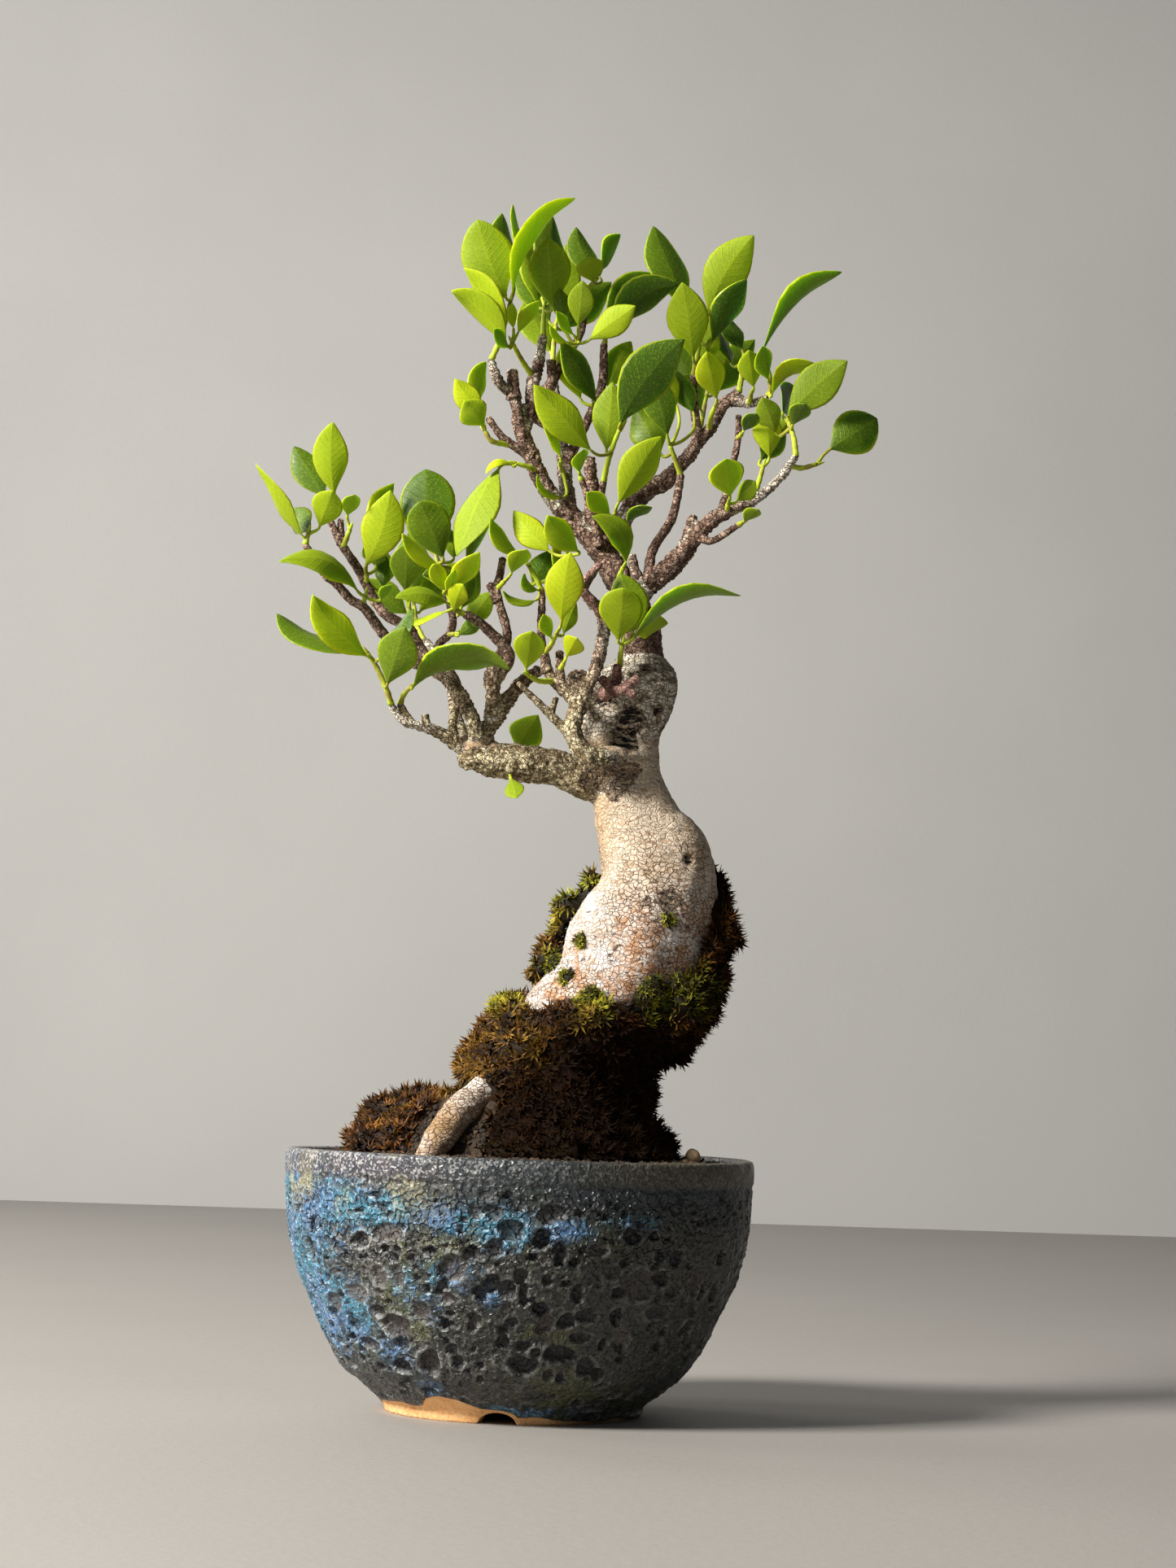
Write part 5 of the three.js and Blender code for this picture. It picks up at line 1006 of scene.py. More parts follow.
def tuftMesh():  # one star of pointed leaflets, each a slim closed spike
    rng = np.random.default_rng(moss["seed"])
    points, faces, tips = [], [], []
    for i in range(moss["leaflets"]):
        turn = 2 * math.pi * (i + rng.uniform(-0.25, 0.25)) / (moss["leaflets"] - 1)
        rise = rng.uniform(0.2, 0.9) if i < moss["leaflets"] - 1 else 1.5
        reach = rng.uniform(0.75, 1.35)
        out = np.array([math.cos(turn) * math.cos(rise), math.sin(turn) * math.cos(rise), math.sin(rise)])
        side = unit(np.cross(out, [0.01, 0, 1.0]))
        up = np.cross(side, out)
        a, b, c, d, e, f, g = range(len(points), len(points) + 7)
        mid = out * reach * 0.42
        points += [out * 0.03 + side * 0.11, out * 0.03 - side * 0.11, out * 0.05 - up * 0.10, mid + side * 0.125,
            mid - side * 0.125, mid - up * 0.07, out * reach + up * 0.16 * reach]
        tips += [0, 0, 0, 0.6, 0.6, 0.5, 1.0]
        faces += [(a, b, c), (a, d, e, b), (b, e, f, c), (c, f, d, a), (d, g, e), (e, g, f), (f, g, d)]
    mesh = bpy.data.meshes.new("mossTuft")
    mesh.from_pydata([tuple(p) for p in points], [], faces)
    addAttributes(mesh, tip=tips)
    reshape(mesh, lambda work: bmesh.ops.recalc_face_normals(work, faces=work.faces))
    return bpy.data.objects.new("mossTuft", mesh)


def randomValue(tree, low, high, seed, kind="FLOAT"):
    first, out = {"FLOAT": (2, 1), "FLOAT_VECTOR": (0, 0)}[kind]
    return addNode(tree, "FunctionNodeRandomValue", {first: low, first + 1: high, "Seed": seed},
        data_type=kind).outputs[out]


def scatterTree(name, shape, material):  # sets a small shape all over the faces that carry "grow"
    tree, ports, given, out = newShaper(name, Spacing=0.002, Size=0.003, Tilt=0.5, Seed=1)
    scatter = addNode(tree, "GeometryNodeDistributePointsOnFaces",
        {"Mesh": given["Geometry"], "Distance Min": given["Spacing"], "Density Max": 900000.0,
        "Density Factor": namedField(tree, "grow"), "Seed": given["Seed"]}, distribute_method="POISSON")
    anyWay = randomValue(tree, (-1.0, -1.0, -1.0), (1.0, 1.0, 1.0), 3, "FLOAT_VECTOR")
    lean = vectorNode("SCALE", anyWay, scale=given["Tilt"])
    heading = vectorNode("ADD", scatter.outputs["Normal"], lean)
    align = addNode(tree, "FunctionNodeAlignRotationToVector", {"Vector": heading}, axis="Z")
    spin = addNode(tree, "FunctionNodeAxisAngleToRotation", {"Angle": randomValue(tree, 0.0, 6.283, 4),
        "Axis": (0, 0, 1)})
    rotation = addNode(tree, "FunctionNodeRotateRotation", {"Rotation": align.outputs[0],
        "Rotate By": spin.outputs[0]}, rotation_space="LOCAL")
    size = times(given["Size"], randomValue(tree, 0.65, 1.3, 5))
    shapeInfo = addNode(tree, "GeometryNodeObjectInfo", {"Object": shape})
    placed = addNode(tree, "GeometryNodeInstanceOnPoints", {"Points": scatter.outputs["Points"],
        "Instance": shapeInfo.outputs["Geometry"], "Rotation": rotation.outputs[0], "Scale": size})
    toned = addNode(tree, "GeometryNodeStoreNamedAttribute", {"Geometry": placed.outputs[0], "Name": "tone",
        "Value": randomValue(tree, 0.0, 1.0, 6)}, domain="INSTANCE", data_type="FLOAT")
    real = addNode(tree, "GeometryNodeRealizeInstances", {"Geometry": toned.outputs[0]})
    both = addNode(tree, "GeometryNodeJoinGeometry")
    plug(both.inputs[0], given["Geometry"])
    plug(both.inputs[0], real.outputs[0])
    plug(out, addNode(tree, "GeometryNodeSetMaterial", {"Geometry": both.outputs[0],
        "Material": material}).outputs[0])
    return tree, ports


def mossMaterial():
    material, shader, place = newMaterial("mossTufts")
    tone, tip, lush, gold, shade = fields(place, "tone", "tip", "lush", "gold", "shade")
    blotch = noiseNode(place, 110.0, 3.0, 0.6)
    fine = speckle(place, 1300.0)
    brown = mixColor(ramp(tone, 0.15, 0.95), (0.022, 0.009, 0.005), (0.245, 0.085, 0.018))
    brown = mixColor(times(ramp(blotch, 0.50, 0.62), ramp(tone, 0.35, 0.8, 0.15, 0.85)), brown,
        (0.460, 0.185, 0.028))
    green = mixColor(ramp(tone, 0.15, 0.85), (0.070, 0.100, 0.006), (0.50, 0.480, 0.020))
    mix = timesPlus(minus(tone, 0.5), 0.30, lush)
    mix = timesPlus(minus(blotch, 0.5), 0.8, mix)
    color = mixColor(ramp(mix, 0.38, 0.68), brown, green)
    # golden moss: partly its own colour, partly painted light on the lit left
    golden = mixColor(ramp(tone, 0.2, 0.9), (0.26, 0.105, 0.014), (0.66, 0.370, 0.050))
    color = mixColor(gold, color, golden)
    color = mixColor(times(shade, 0.95), color, (0.008, 0.004, 0.003))
    color = mixColor(ramp(tip, 0.15, 0.9, 0.95, 0.0), color, (0.009, 0.005, 0.003))
    clumps = ramp(noiseNode(place, 150.0, 2.0, 0.5), 0.50, 0.38, 0.0, 0.85)
    color = mixColor(clumps, color, (0.012, 0.007, 0.004))
    color = mixColor(ramp(fine, 0.45, 0.65, 0.0, 0.3), color, (0.03, 0.018, 0.008))
    finish(shader, color, ramp(fine, 0.3, 0.7, 0.6, 0.85), None, {"Subsurface Weight": 0.2,
        "Subsurface Radius": (1.0, 0.7, 0.2), "Subsurface Scale": 0.0006,
        "Specular IOR Level": ramp(shade, 0.0, 0.8, 0.25, 0.03)})
    return material


# how far right the left flank may reach: z, x
leftFlankEdge = [[130, -1], [136, 2], [141, 6], [146, 10], [151, 11], [156, 12.5], [161, 15], [166, 19.5],
    [171, 23]]
flankOuter = [[130, -2], [138, 1.5], [144, 5], [149, 6], [156, 8], [163, 11], [168, 15.5], [172, 18.5]]  # z, x
flankFront = -1.5
rightFlankEdge = [[139, 40], [143, 51], [147, 58], [157, 59.5], [170, 59.5], [180, 58]]  # how far left it may reach
# how high the mound may stand before the pale wood: x, z
moundTop = [[-30, 190], [-4, 190], [-2, 130], [0, 126.5], [5, 126], [9, 131.5], [15, 134.5], [22, 135.5],
    [30, 136], [38, 139], [46, 142], [52, 144], [58, 148], [61, 190]]
# dark moss packed round the foot of the trunk, behind the root: z, left, right, front, back
packedRows = [[78, -42, 4, -33, 12], [86, -40, 4, -31, 12], [93, -35, 2, -28, 10], [98, -30, -2, -24, 8],
    [102, -25, -8, -17, 4]]


def patchValue(mm, patches):
    value = np.zeros(len(mm))
    drawnX, drawnZ = drawnAt(*mm.T)
    for x, z, radius in patches:
        away = np.hypot(drawnX - x, drawnZ - z) / radius
        value = np.maximum(value, np.where(mm[:, 1] < 12, smoothStep(1.35 - away, 0, 0.9), 0))
    return value


def growthMasks(mesh):
    mm = meshPlaces(mesh)
    near = np.array([woodTree.find_nearest(v.co)[3] for v in mesh.vertices])
    facing = np.array([v.normal.z for v in mesh.vertices])
    grow = (near > moss["barkGap"]) & ~((facing < -0.5) & (mm[:, 2] < 84))
    lumpy = np.array([noise.noise(Vector(p) * 0.09) for p in mm])
    lush = np.maximum(patchValue(mm, greenPatches), 0.30 * np.clip(lumpy * 2, 0, 1))
    back = mm[:, 1] > 8
    lush = np.where(back, np.clip(0.35 + lumpy * 1.6, 0, 1) * smoothStep(mm[:, 2], 100, 135), lush)
    gold = 0.75 * patchValue(mm, goldAndLitPatches) * np.clip(0.6 + lumpy, 0, 1)
    shade = (smoothStep(mm[:, 0] + 0.7 * (118 - mm[:, 2]) * (mm[:, 0] > -22), -10, 16)
        * smoothStep(131 - mm[:, 2], 0, 10))
    shade = np.maximum(shade, 0.75 * smoothStep(mm[:, 0], 46, 58) * (mm[:, 1] < 12))
    shade = np.maximum(shade, 0.8 * smoothStep(96 - mm[:, 2], 0, 8) * (mm[:, 0] > -30)) * (mm[:, 1] < 20)
    addAttributes(mesh, grow=grow, lush=lush, gold=gold, shade=shade, tone=0.2, tip=0)


woodTree = BVHTree.FromPolygons([v.co for v in treeWood.data.vertices],
    [p.vertices for p in treeWood.data.polygons])
mossFinish = mossMaterial()
mossScatter = scatterTree("mossScatter", tuftMesh(), mossFinish)
lumpTexture = bpy.data.textures.new("mossLumps", "CLOUDS")
lumpTexture.noise_scale, lumpTexture.noise_depth = moss["lumpSize"], 3


def narrowBand(v):  # keep the left flank a narrow band down the trunk's side
    z = (v.co.z - potAxis[2]) * 1000
    edge, outer = (lookUp(z, rows) * 0.001 + potAxis[0] for rows in (leftFlankEdge, flankOuter))
    v.co.x = min(v.co.x, edge + 0.15 * max(0, v.co.x - edge))
    v.co.x = max(v.co.x, outer + 0.4 * min(0, v.co.x - outer))
    v.co.y = max(v.co.y, flankFront * 0.001 + potAxis[1] + 0.1 * (v.co.y - potAxis[1]))


def clearWood(v, rightFlank):  # keep the moss off the pale wood in front
    x, y, z = (np.array(v.co) - potAxis) * 1000
    drawnX, drawnZ = drawnAt(x, y, z)
    top, least = lookUp(drawnX, moundTop), lookUp(drawnZ, rightFlankEdge)
    if y < 6 and drawnZ > top:
        v.co.z -= (drawnZ - top) * 0.00085
    if rightFlank and y < 6 and drawnX < least:
        v.co.x += (least - drawnX) * 0.0009


for order, (node, name) in enumerate((("moss_mound", "mossMound"), ("moss_left_heap", "mossLeftHeap"),
        ("moss_right_flank", "mossRightFlank"), ("moss_left_flank", "mossLeftFlank"))):
    piece = cadCopy(node, name)
    for v in piece.data.vertices:
        if name == "mossLeftFlank":
            narrowBand(v)
        else:
            clearWood(v, name == "mossRightFlank")
    if name == "mossLeftHeap":
        packed = addMesh("packedMoss", *stackTube(packedRows, 24))
        reshape(piece.data, lambda work: work.from_mesh(packed.data))
        bpy.data.meshes.remove(packed.data)
    addModifier(piece, "REMESH", mode="VOXEL", voxel_size=moss["voxel"], use_smooth_shade=True)
    addModifier(piece, "DISPLACE", texture=lumpTexture, texture_coords="LOCAL", strength=moss["lump"],
        mid_level=moss["midLevel"])
    addModifier(piece, "DECIMATE", ratio=moss["keepFaces"])
    bakeModifiers(piece)
    growthMasks(piece.data)
    runShaper(piece, *mossScatter, **tuftSizes, Seed=31 + order)
    claim(piece, "moss", node)
    print(name + ":", triangles(piece), "triangles")

cushionParts = []
for x, z, radius in barkCushions:
    aim = Vector(potAxis + at(x, z, 0) * 0.001) - eye
    spot, facing, _, _ = woodTree.ray_cast(eye, aim.normalized())
    if spot is None:
        continue
    turn = facing.to_track_quat("Z", "Y")
    points, faces = [], []
    rings, around = cushionShape["rings"], cushionShape["around"]
    for i in range(rings + 1):
        polar = cushionShape["reach"] * (i + 0.5) / (rings + 0.5)
        for j in range(around):
            a = 2 * math.pi * j / around
            flat = Vector((math.sin(polar) * math.cos(a), math.sin(polar) * math.sin(a),
                cushionShape["flatness"] * math.cos(polar)))
            flat *= radius * (1 + cushionShape["uneven"] * math.sin(3 * a + x))
            points.append((np.array(spot + turn @ (flat * 0.001)) - potAxis) * 1000)
    for i in range(rings):
        for j in range(around):
            k = (j + 1) % around
            faces.append((i * around + j, (i + 1) * around + j, (i + 1) * around + k, i * around + k))
    faces.append(tuple(range(around)))
    faces.append(tuple(rings * around + j for j in reversed(range(around))))
    cushionParts.append((points, faces))
cushions = addMesh("mossCushions", *gather(cushionParts), mossFinish)
addAttributes(cushions.data, grow=1, lush=0.8, gold=0, shade=0, tone=0.2, tip=0)
runShaper(cushions, *mossScatter, **cushionSizes)
claim(cushions, "moss", "moss_left_flank", "moss_right_flank")
print("mossCushions:", triangles(cushions), "triangles")


def earthMaterial():
    material, shader, place = newMaterial("darkEarth")
    fine = speckle(place, 1600.0)
    blotch, color = blotches(place, 160.0, (0.022, 0.014, 0.009), (0.070, 0.042, 0.022))
    color = mixColor(ramp(*fields(place, "tone"), 0.6, 1.0, 0.0, 0.7), color, (0.15, 0.095, 0.045))
    color = mixColor(ramp(fine, 0.55, 0.7, 0.0, 0.5), color, (0.20, 0.15, 0.09))
    bump = bumpNode(timesPlus(blotch, 0.6, fine), 0.0012, 0.9)
    finish(shader, color, ramp(fine, 0.3, 0.7, 0.75, 0.95), bump)
    return material


earth = earthMaterial()

crumb = dict(voxel=0.0018, coverFrom=36, unevenTo=69, uneven=0.0014, seed=5)
crumbSizes = dict(Spacing=0.0013, Size=0.0013, Tilt=1.0, Seed=9)
crumbRng = np.random.default_rng(crumb["seed"])
crumbMesh = bpy.data.meshes.new("crumb")
reshape(crumbMesh, lambda work: bmesh.ops.create_icosphere(work, subdivisions=1, radius=1.0))
for v in crumbMesh.vertices:
    v.co *= float(crumbRng.uniform(0.6, 1.15))
crumbScatter = scatterTree("crumbScatter", bpy.data.objects.new("crumb", crumbMesh), earth)
earthBed = cadCopy("soil", "earthCrumbs")
earthBed.data.materials.append(earth)
addModifier(earthBed, "REMESH", mode="VOXEL", voxel_size=crumb["voxel"], use_smooth_shade=True)
bakeModifiers(earthBed)
for v in earthBed.data.vertices:  # uneven on top, untouched against the pot
    p = (np.array(v.co) - potAxis) * 1000
    if v.normal.z > 0.5 and math.hypot(p[0], p[1]) < crumb["unevenTo"]:
        v.co.z += crumb["uneven"] * noise.noise(Vector((p[0] * 0.12, p[1] * 0.12, 2.0)))
bedMm = meshPlaces(earthBed.data)
bedUp = np.array([v.normal.z for v in earthBed.data.vertices])
onTop = (bedUp > 0.3) & ((np.hypot(bedMm[:, 0], bedMm[:, 1]) > crumb["coverFrom"])
    | (bedMm[:, 1] > 4)) & (bedMm[:, 2] > 70)
addAttributes(earthBed.data, grow=onTop, tone=0.3)
runShaper(earthBed, *crumbScatter, **crumbSizes)
claim(earthBed, "soil", "soil")
print("earthCrumbs:", triangles(earthBed), "triangles")


def plainMaterial(name, grain, patchSize, first, second, rough, relief, fleck=None):
    material, shader, place = newMaterial(name)
    fine = speckle(place, grain)
    blotch, color = blotches(place, patchSize, first, second)
    height = fine
    if fleck:
        color = mixColor(ramp(fine, 0.52, 0.68, 0.0, 0.6), color, fleck)
        height = plus(blotch, fine)
    finish(shader, color, ramp(fine, 0.3, 0.7, *rough), bumpNode(height, *relief))
    return material


stoneLow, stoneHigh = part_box("pebble")
stoneCentre = (stoneLow + stoneHigh) / 2
stoneMesh = bpy.data.meshes.new("tanPebble")
stoneRadius = (stoneHigh.x - stoneLow.x) / 2
reshape(stoneMesh, lambda work: bmesh.ops.create_icosphere(work, subdivisions=4, radius=stoneRadius))
for v in stoneMesh.vertices:
    v.co = v.co * (1 + 0.16 * noise.noise(v.co * 420) + 0.04 * noise.noise(v.co * 1500)) + stoneCentre
shadeSmooth(stoneMesh)
stoneMesh.materials.append(plainMaterial("tanStone", 2600.0, 500.0, (0.74, 0.52, 0.28), (0.56, 0.37, 0.18),
    (0.6, 0.85), (0.0003, 0.8), (0.82, 0.66, 0.46)))
claim(addObject("tanPebble", stoneMesh), "pebble", "pebble")


def wireMaterial():
    material, shader, place = newMaterial("bendingWire")
    drawn = noiseNode(stretch(place, 1.0, 0.1, 1.0), 2600.0, 3.0, 0.6)
    dull, color = blotches(place, 260.0, (0.62, 0.62, 0.60), (0.40, 0.39, 0.37))
    finish(shader, color, ramp(dull, 0.35, 0.65, 0.35, 0.6), bumpNode(drawn, 0.00005, 0.5), {"Metallic": 1.0})
    return material


blackNet = plainMaterial("blackNet", 900.0, 120.0, (0.018, 0.019, 0.020), (0.050, 0.040, 0.030), (0.42, 0.6),
    (0.0001, 0.5))
for node, material in (("drainage_mesh", blackNet), ("mesh_staple", wireMaterial())):
    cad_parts[node].data.materials.clear()
    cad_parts[node].data.materials.append(material)

# the green stems and the leaves on them

leaf = dict(thickness=0.42, fold=0.17, widthToLength=0.46, broaden=1.1, petiole=0.55, petioleSides=7,
    stemClear=1.9, wave=0.022, tipCurl=0.09, arch=0.075, groove=0.05, grooveWidth=0.08, stemBase=1.05,
    stemTip=0.72, stemSides=9, bud=(0.6, 0.62, 0.5, 0.26, 0.06), budSides=7, seed=11)
bladeOutline = [[0, 0.05], [0.05, 0.12], [0.13, 0.33], [0.25, 0.67], [0.37, 0.91], [0.47, 1.0], [0.57, 0.985],
    [0.67, 0.88], [0.77, 0.69], [0.86, 0.46], [0.93, 0.24], [0.97, 0.11], [1.0, 0.01]]
roundOutline = [[0, 0.05], [0.05, 0.13], [0.13, 0.34], [0.25, 0.65], [0.38, 0.88], [0.5, 0.985], [0.6, 1.0],
    [0.7, 0.965], [0.8, 0.86], [0.88, 0.69], [0.94, 0.48], [0.975, 0.29], [1.0, 0.06]]
bladeColumns = [-1, -0.86, -0.62, -0.34, -0.08, 0, 0.08, 0.34, 0.62, 0.86, 1]

# each shoot: young or mature, a label that nothing uses, the points of its stem, its leaves
# a leaf: base x, z, y, tip x, z, y, width seen, tone (below 0 bluish, 0 dark, 1 yellow), and where they are not the
# usual 0, 1 and any: sideways bow, turn, bluntness. The tone mixes the leaf's own colour by age with painted light:
# darker where a leaf lies in shade, brighter where it glows lit from behind, bluish below 0 as a painted reflection
shoots = {
    "left_01": ("mature", [[-77.5, 279, -20], [-76.6, 283, -20.5]], [
        [-78.1, 281.5, -21, -93.6, 306, -28, 4.8, 0.7, 1.5, -1], [-73.1, 285, -22, -69, 297.6, -32, 9.5, 0.72],
        [-76, 283.4, -17, -82.5, 290, -3, 8, 0.06, 0, -1]]),
    "left_02": ("young", [[-70, 288, 6], [-70, 293.5, 6]], [[-68.5, 296, 5, -70, 320, 0, 11, 0.72, 1],
        [-71.5, 295, 8, -82.3, 311, 15, 10, 0.06]]),
    "left_03": ("young", [[-65, 278.5, 4.5], [-63, 284.5, 0]], [[-64, 289, -1, -62, 296.7, -12, 5, 0.72]]),
    "left_04": ("young", [[-56.8, 266, 3], [-57, 270, 0]], [[-57.3, 272.5, -2, -50.3, 297.8, -8, 13, 0.82, -1.5],
        [-54, 272.5, 4, -55, 281, 18, 8, 0.06], [-56, 279, 12, -49.9, 300.3, 18, 7, 0.8],
        [-51.5, 265.5, 7, -50.5, 277, 12, 6.5, 0.12]]),
    "left_05": ("mature", [[-57.7, 259, -13], [-57.2, 262.5, -14]], [
        [-59.7, 264.2, -15, -85.6, 271.8, -32, 8, 0.45, -6], [-52, 261.5, -14, -48.8, 267, -22, 2.5, 0.45]]),
    "left_06": ("mature", [[-47.2, 227, -16], [-49, 232, -18], [-53, 240, -19], [-55.5, 243.5, -19]], [
        [-48.8, 233.5, -22, -43.4, 253, -32, 12.5, 0.22], [-55.5, 242.6, -22, -75, 261.9, -30, 11, 0.85, 1.5],
        [-57.4, 244.4, -14, -86.3, 254.6, -8, 6, 0.1, 2.4], [-51, 243, -22, -40.6, 258.3, -20, 6, -0.15, 0, -1]]),
    "left_07": ("mature", [[-44.4, 227, -14], [-43.2, 230.5, -14], [-40.5, 233.5, -15]], [
        [-40.5, 232.6, -17, -7.7, 241, -34, 6.2, 0.2, 5.4]]),
    "left_08": ("mature", [[-42.6, 252.5, -1], [-42.5, 259, -4]], [[-44, 264.5, -5, -43.8, 281, -14, 10.6, 0.24]]),
    "left_09": ("young", [[-24, 257.5, -14], [-27, 259, -15], [-29.5, 263, -16.5], [-31, 269, -17]], [
        [-29.6, 265.2, -19, -20.4, 278.8, -28, 6.4, 1, -0.8], [-30.6, 265.4, -21, -35.4, 274, -27, 5.4, 1, 0, 1, 0.9],
        [-31, 265, -22, -28.4, 272.6, -28, 3, 0.95, -1],
        [-27.6, 258.6, -18, -24.8, 267.7, -27, 6.6, 0.95, 0.6, 1, 0.3], [-25.4, 260, -12, -22.5, 273.5, -8, 6, 0.06],
        [-31.6, 272, -17, -46.4, 283.2, -25, 5.6, 0.98, 0.8], [-30, 261, -19, -47, 261.4, -32, 6.5, 0.45, -2.5],
        [-30, 258.4, -15, -43, 253.5, -10, 3, 0.8], [-31.4, 265, -13, -36, 272, 2, 5, 0.06],
        [-26, 259, -6, -20.5, 273, 0, 7.5, 0.1]]),
    "left_10": ("mature", [[-33, 272, 16], [-34.5, 277.5, 17]], [
        [-37, 279.5, 18, -38.5, 304.6, 24, 17.5, 0.03, 0, 1, 1], [-32, 276, 13, -40.5, 294.5, 7, 13.5, 0.18, 0, 1, 1],
        [-28.5, 276, 17, -30, 285, 28, 6, 0.4], [-24.5, 275, 18, -15.4, 297, 24, 6, 0.35]]),
    "left_11": ("young", [[-1.8, 306, 4], [-5, 307.3, 1], [-9, 308.4, -1]], [
        [-14.5, 306.8, -3, -26.4, 276.4, -12, 12.5, 0.52, -1.5], [-10, 307.4, -2, -18.6, 304.2, -6, 3.2, 0.98, -3]]),
    "left_12": ("young", [[-11.5, 314.5, 2], [-17.6, 315.8, -2], [-19.8, 319, -3]], [
        [-20, 320.5, -4, -27, 328.8, -9, 9.5, 0.72], [-21, 323, 1, -30.3, 335.9, -2, 8, 1],
        [-22.5, 327, 5, -20.6, 342, 9, 5.5, 0.72, 1]]),
    "left_13": ("mature", [[-29.3, 250.5, 6], [-27, 251, 1]], [[-26, 250.5, -1, -18.5, 256.5, -6, 5, 0.06],
        [-23.5, 254, 6, -15.6, 265, 10, 7.5, 0.4]]),
    "left_15": ("mature", [[-7, 212, -2], [-6.6, 213, 5]], [[-6, 214, 8, 0.7, 224.5, 20, 11, 0.45]]),
    "left_16": ("mature", [[-8, 209.5, -6], [-7.5, 205, -9]], [[-7.2, 204, -10, -5, 197, -20, 6, 0.45]]),
    "left_18": ("young", [[-13.7, 266.5, -4.2], [-11.5, 269, -8]], [[-9.4, 271.6, -11, -4.6, 280.4, -24, 5.5, 0.8]]),
    "middle_01": ("mature", [[0.9, 265.6, -12], [-0.5, 269, -13], [-3.5, 274, -14]], [
        [-6.3, 277, -15, -17.5, 289.6, -21, 5.4, 0.7, 1], [-2.5, 268.5, -9, 3.2, 279.3, -3, 8, -0.15],
        [-0.4, 266.4, -14, -5.9, 271.8, -24, 3.6, 0.5, 1], [-1, 263, -13.5, -12.6, 265.4, -22, 3.2, 0.5, 1.6],
        [5, 272, -12, 6.4, 282.4, -6, 3.5, 0.7]]),
    "middle_02": ("young", [[10, 276.5, -14], [9, 278.5, -16]], [[12.6, 279.5, -19, 1.6, 291.4, -28, 8.8, 0.8, 1],
        [3, 279.3, -12, -9, 292.2, -8, 9, 0.86, 0.8]]),
    "middle_03": ("young", [[2.5, 246, -12.6], [4.3, 248, -17], [6, 252, -23]], [
        [7.6, 256.3, -27, 9.9, 279.2, -34, 11.6, 0.96, 0.6], [4.4, 250.5, -20, 1.2, 258.6, -27, 4.6, 0.8],
        [8.4, 252, -22, 12, 262.5, -20, 5, 0.55]]),
    "middle_04": ("young", [[7.6, 240, -13], [8.8, 242.5, -17]], [[9.6, 244.5, -19, 13.2, 251.5, -33, 7, 1]]),
    "middle_05": ("young", [[5.5, 236.3, -14], [0.5, 236.4, -20], [-2.5, 238, -23]], [
        [-3.5, 240, -24, -2, 253.1, -36, 9.5, 0.72]]),
    "middle_06": ("young", [[27.2, 242, -14], [27.4, 246, -17], [28, 249.5, -19]], [
        [26.4, 250.5, -22, 27.4, 268.1, -32, 13, 0.66, 0, 1, 0.9], [31, 253, -15, 26.4, 272, -8, 12, 0.3, -1, 1, 0.5],
        [31.5, 251.5, -21, 66.4, 268.4, -36, 3.6, 0.3, 4.6], [32.5, 252.5, -14, 42, 257, -2, 4, 0.8]]),
    "middle_07": ("young", [[24.5, 287.5, 6], [24.2, 291, -1], [24.2, 293, -5]], [
        [22.6, 292, -8, 14.3, 299.6, -17, 6.5, 0.8], [25, 296, -8, 38.1, 319, -13, 11, 0.72],
        [28, 289.5, -3, 36.3, 295.6, -12, 3, 0.06, 0.6]]),
    "middle_08": ("mature", [[26, 270.5, 4], [26.5, 272.5, -5], [27.5, 275, -9]], [
        [28, 276, -10, 16.4, 291, -18, 8, 0.45, -4.4]]),
    "middle_09": ("young", [[12.8, 303.5, -2], [12.2, 305, -3]], [[12, 306, -4, 12.6, 314.2, -16, 4.5, 0.6]]),
    "middle_10": ("young", [[6.9, 305, 11], [5.6, 308, 5]], [[5.6, 310.8, 3, -1.3, 321.5, -4, 3.6, 1, -1.4],
        [6.6, 297.5, 5, -2.6, 304.9, -6, 2.8, 0.85, 2]]),
    "middle_11": ("mature", [[20, 303, 1], [21, 309, -2], [23, 316, -5], [24.8, 321, -8]], [
        [15.5, 313.5, -10, -4.3, 334.3, -16, 12, 0.72], [20.6, 313.5, -4, 22, 336.3, -5, 10.8, 0.45],
        [24.8, 322.6, -10, 45, 351.8, -18, 15, -0.06, 2]]),
    "middle_12": ("mature", [[16, 328, 9], [15.6, 329, 4]], [[16.6, 329.5, 2, 3.5, 349.5, -6, 9.5, 0.06, -1],
        [11.6, 330.5, 6, 4.6, 348, 10, 8, 0.92], [20.5, 334, 8, 27.4, 350, 14, 9, 0.5, 0.6]]),
    "middle_13": ("mature", [[45.4, 306, 4], [43.5, 311, 2], [41.5, 316, 0]], [
        [40.6, 319.1, -2, 33, 340.2, -6, 10.5, 0.06, -0.8], [43.5, 329, 6, 36.4, 344.8, 10, 7.5, 0.85],
        [49, 327, 9, 42.3, 341, 12, 7.5, 0.0], [38.5, 313, 5, 29.7, 328.4, 12, 12, 0.22]]),
    "crown_01": ("young", [[-18.4, 343, -4], [-16.4, 348, -5], [-14, 357, -6], [-12.6, 363.5, -7]], [
        [-14.2, 350, -8, -27.8, 374.2, -14, 7, 0.8, -1, -1],
        [-14.2, 363.8, -9, -24.4, 389.6, -13, 16, 0.5, 1.2, 1, 0.6], [-12, 370, -3, -17.3, 391.9, 4, 7, 0.06],
        [-12.2, 364.6, -10, 6.6, 399.6, -18, 2.4, 1, 3.8]]),
    "crown_02": ("young", [[-4, 337, 4], [-8, 342.5, -1], [-11.8, 349, -8]], [
        [-13.6, 348, -11, -32, 366.4, -17, 7.4, 0.74, -1.6, -1], [-12.6, 347, -10, -18.3, 353, -20, 5, 0.45],
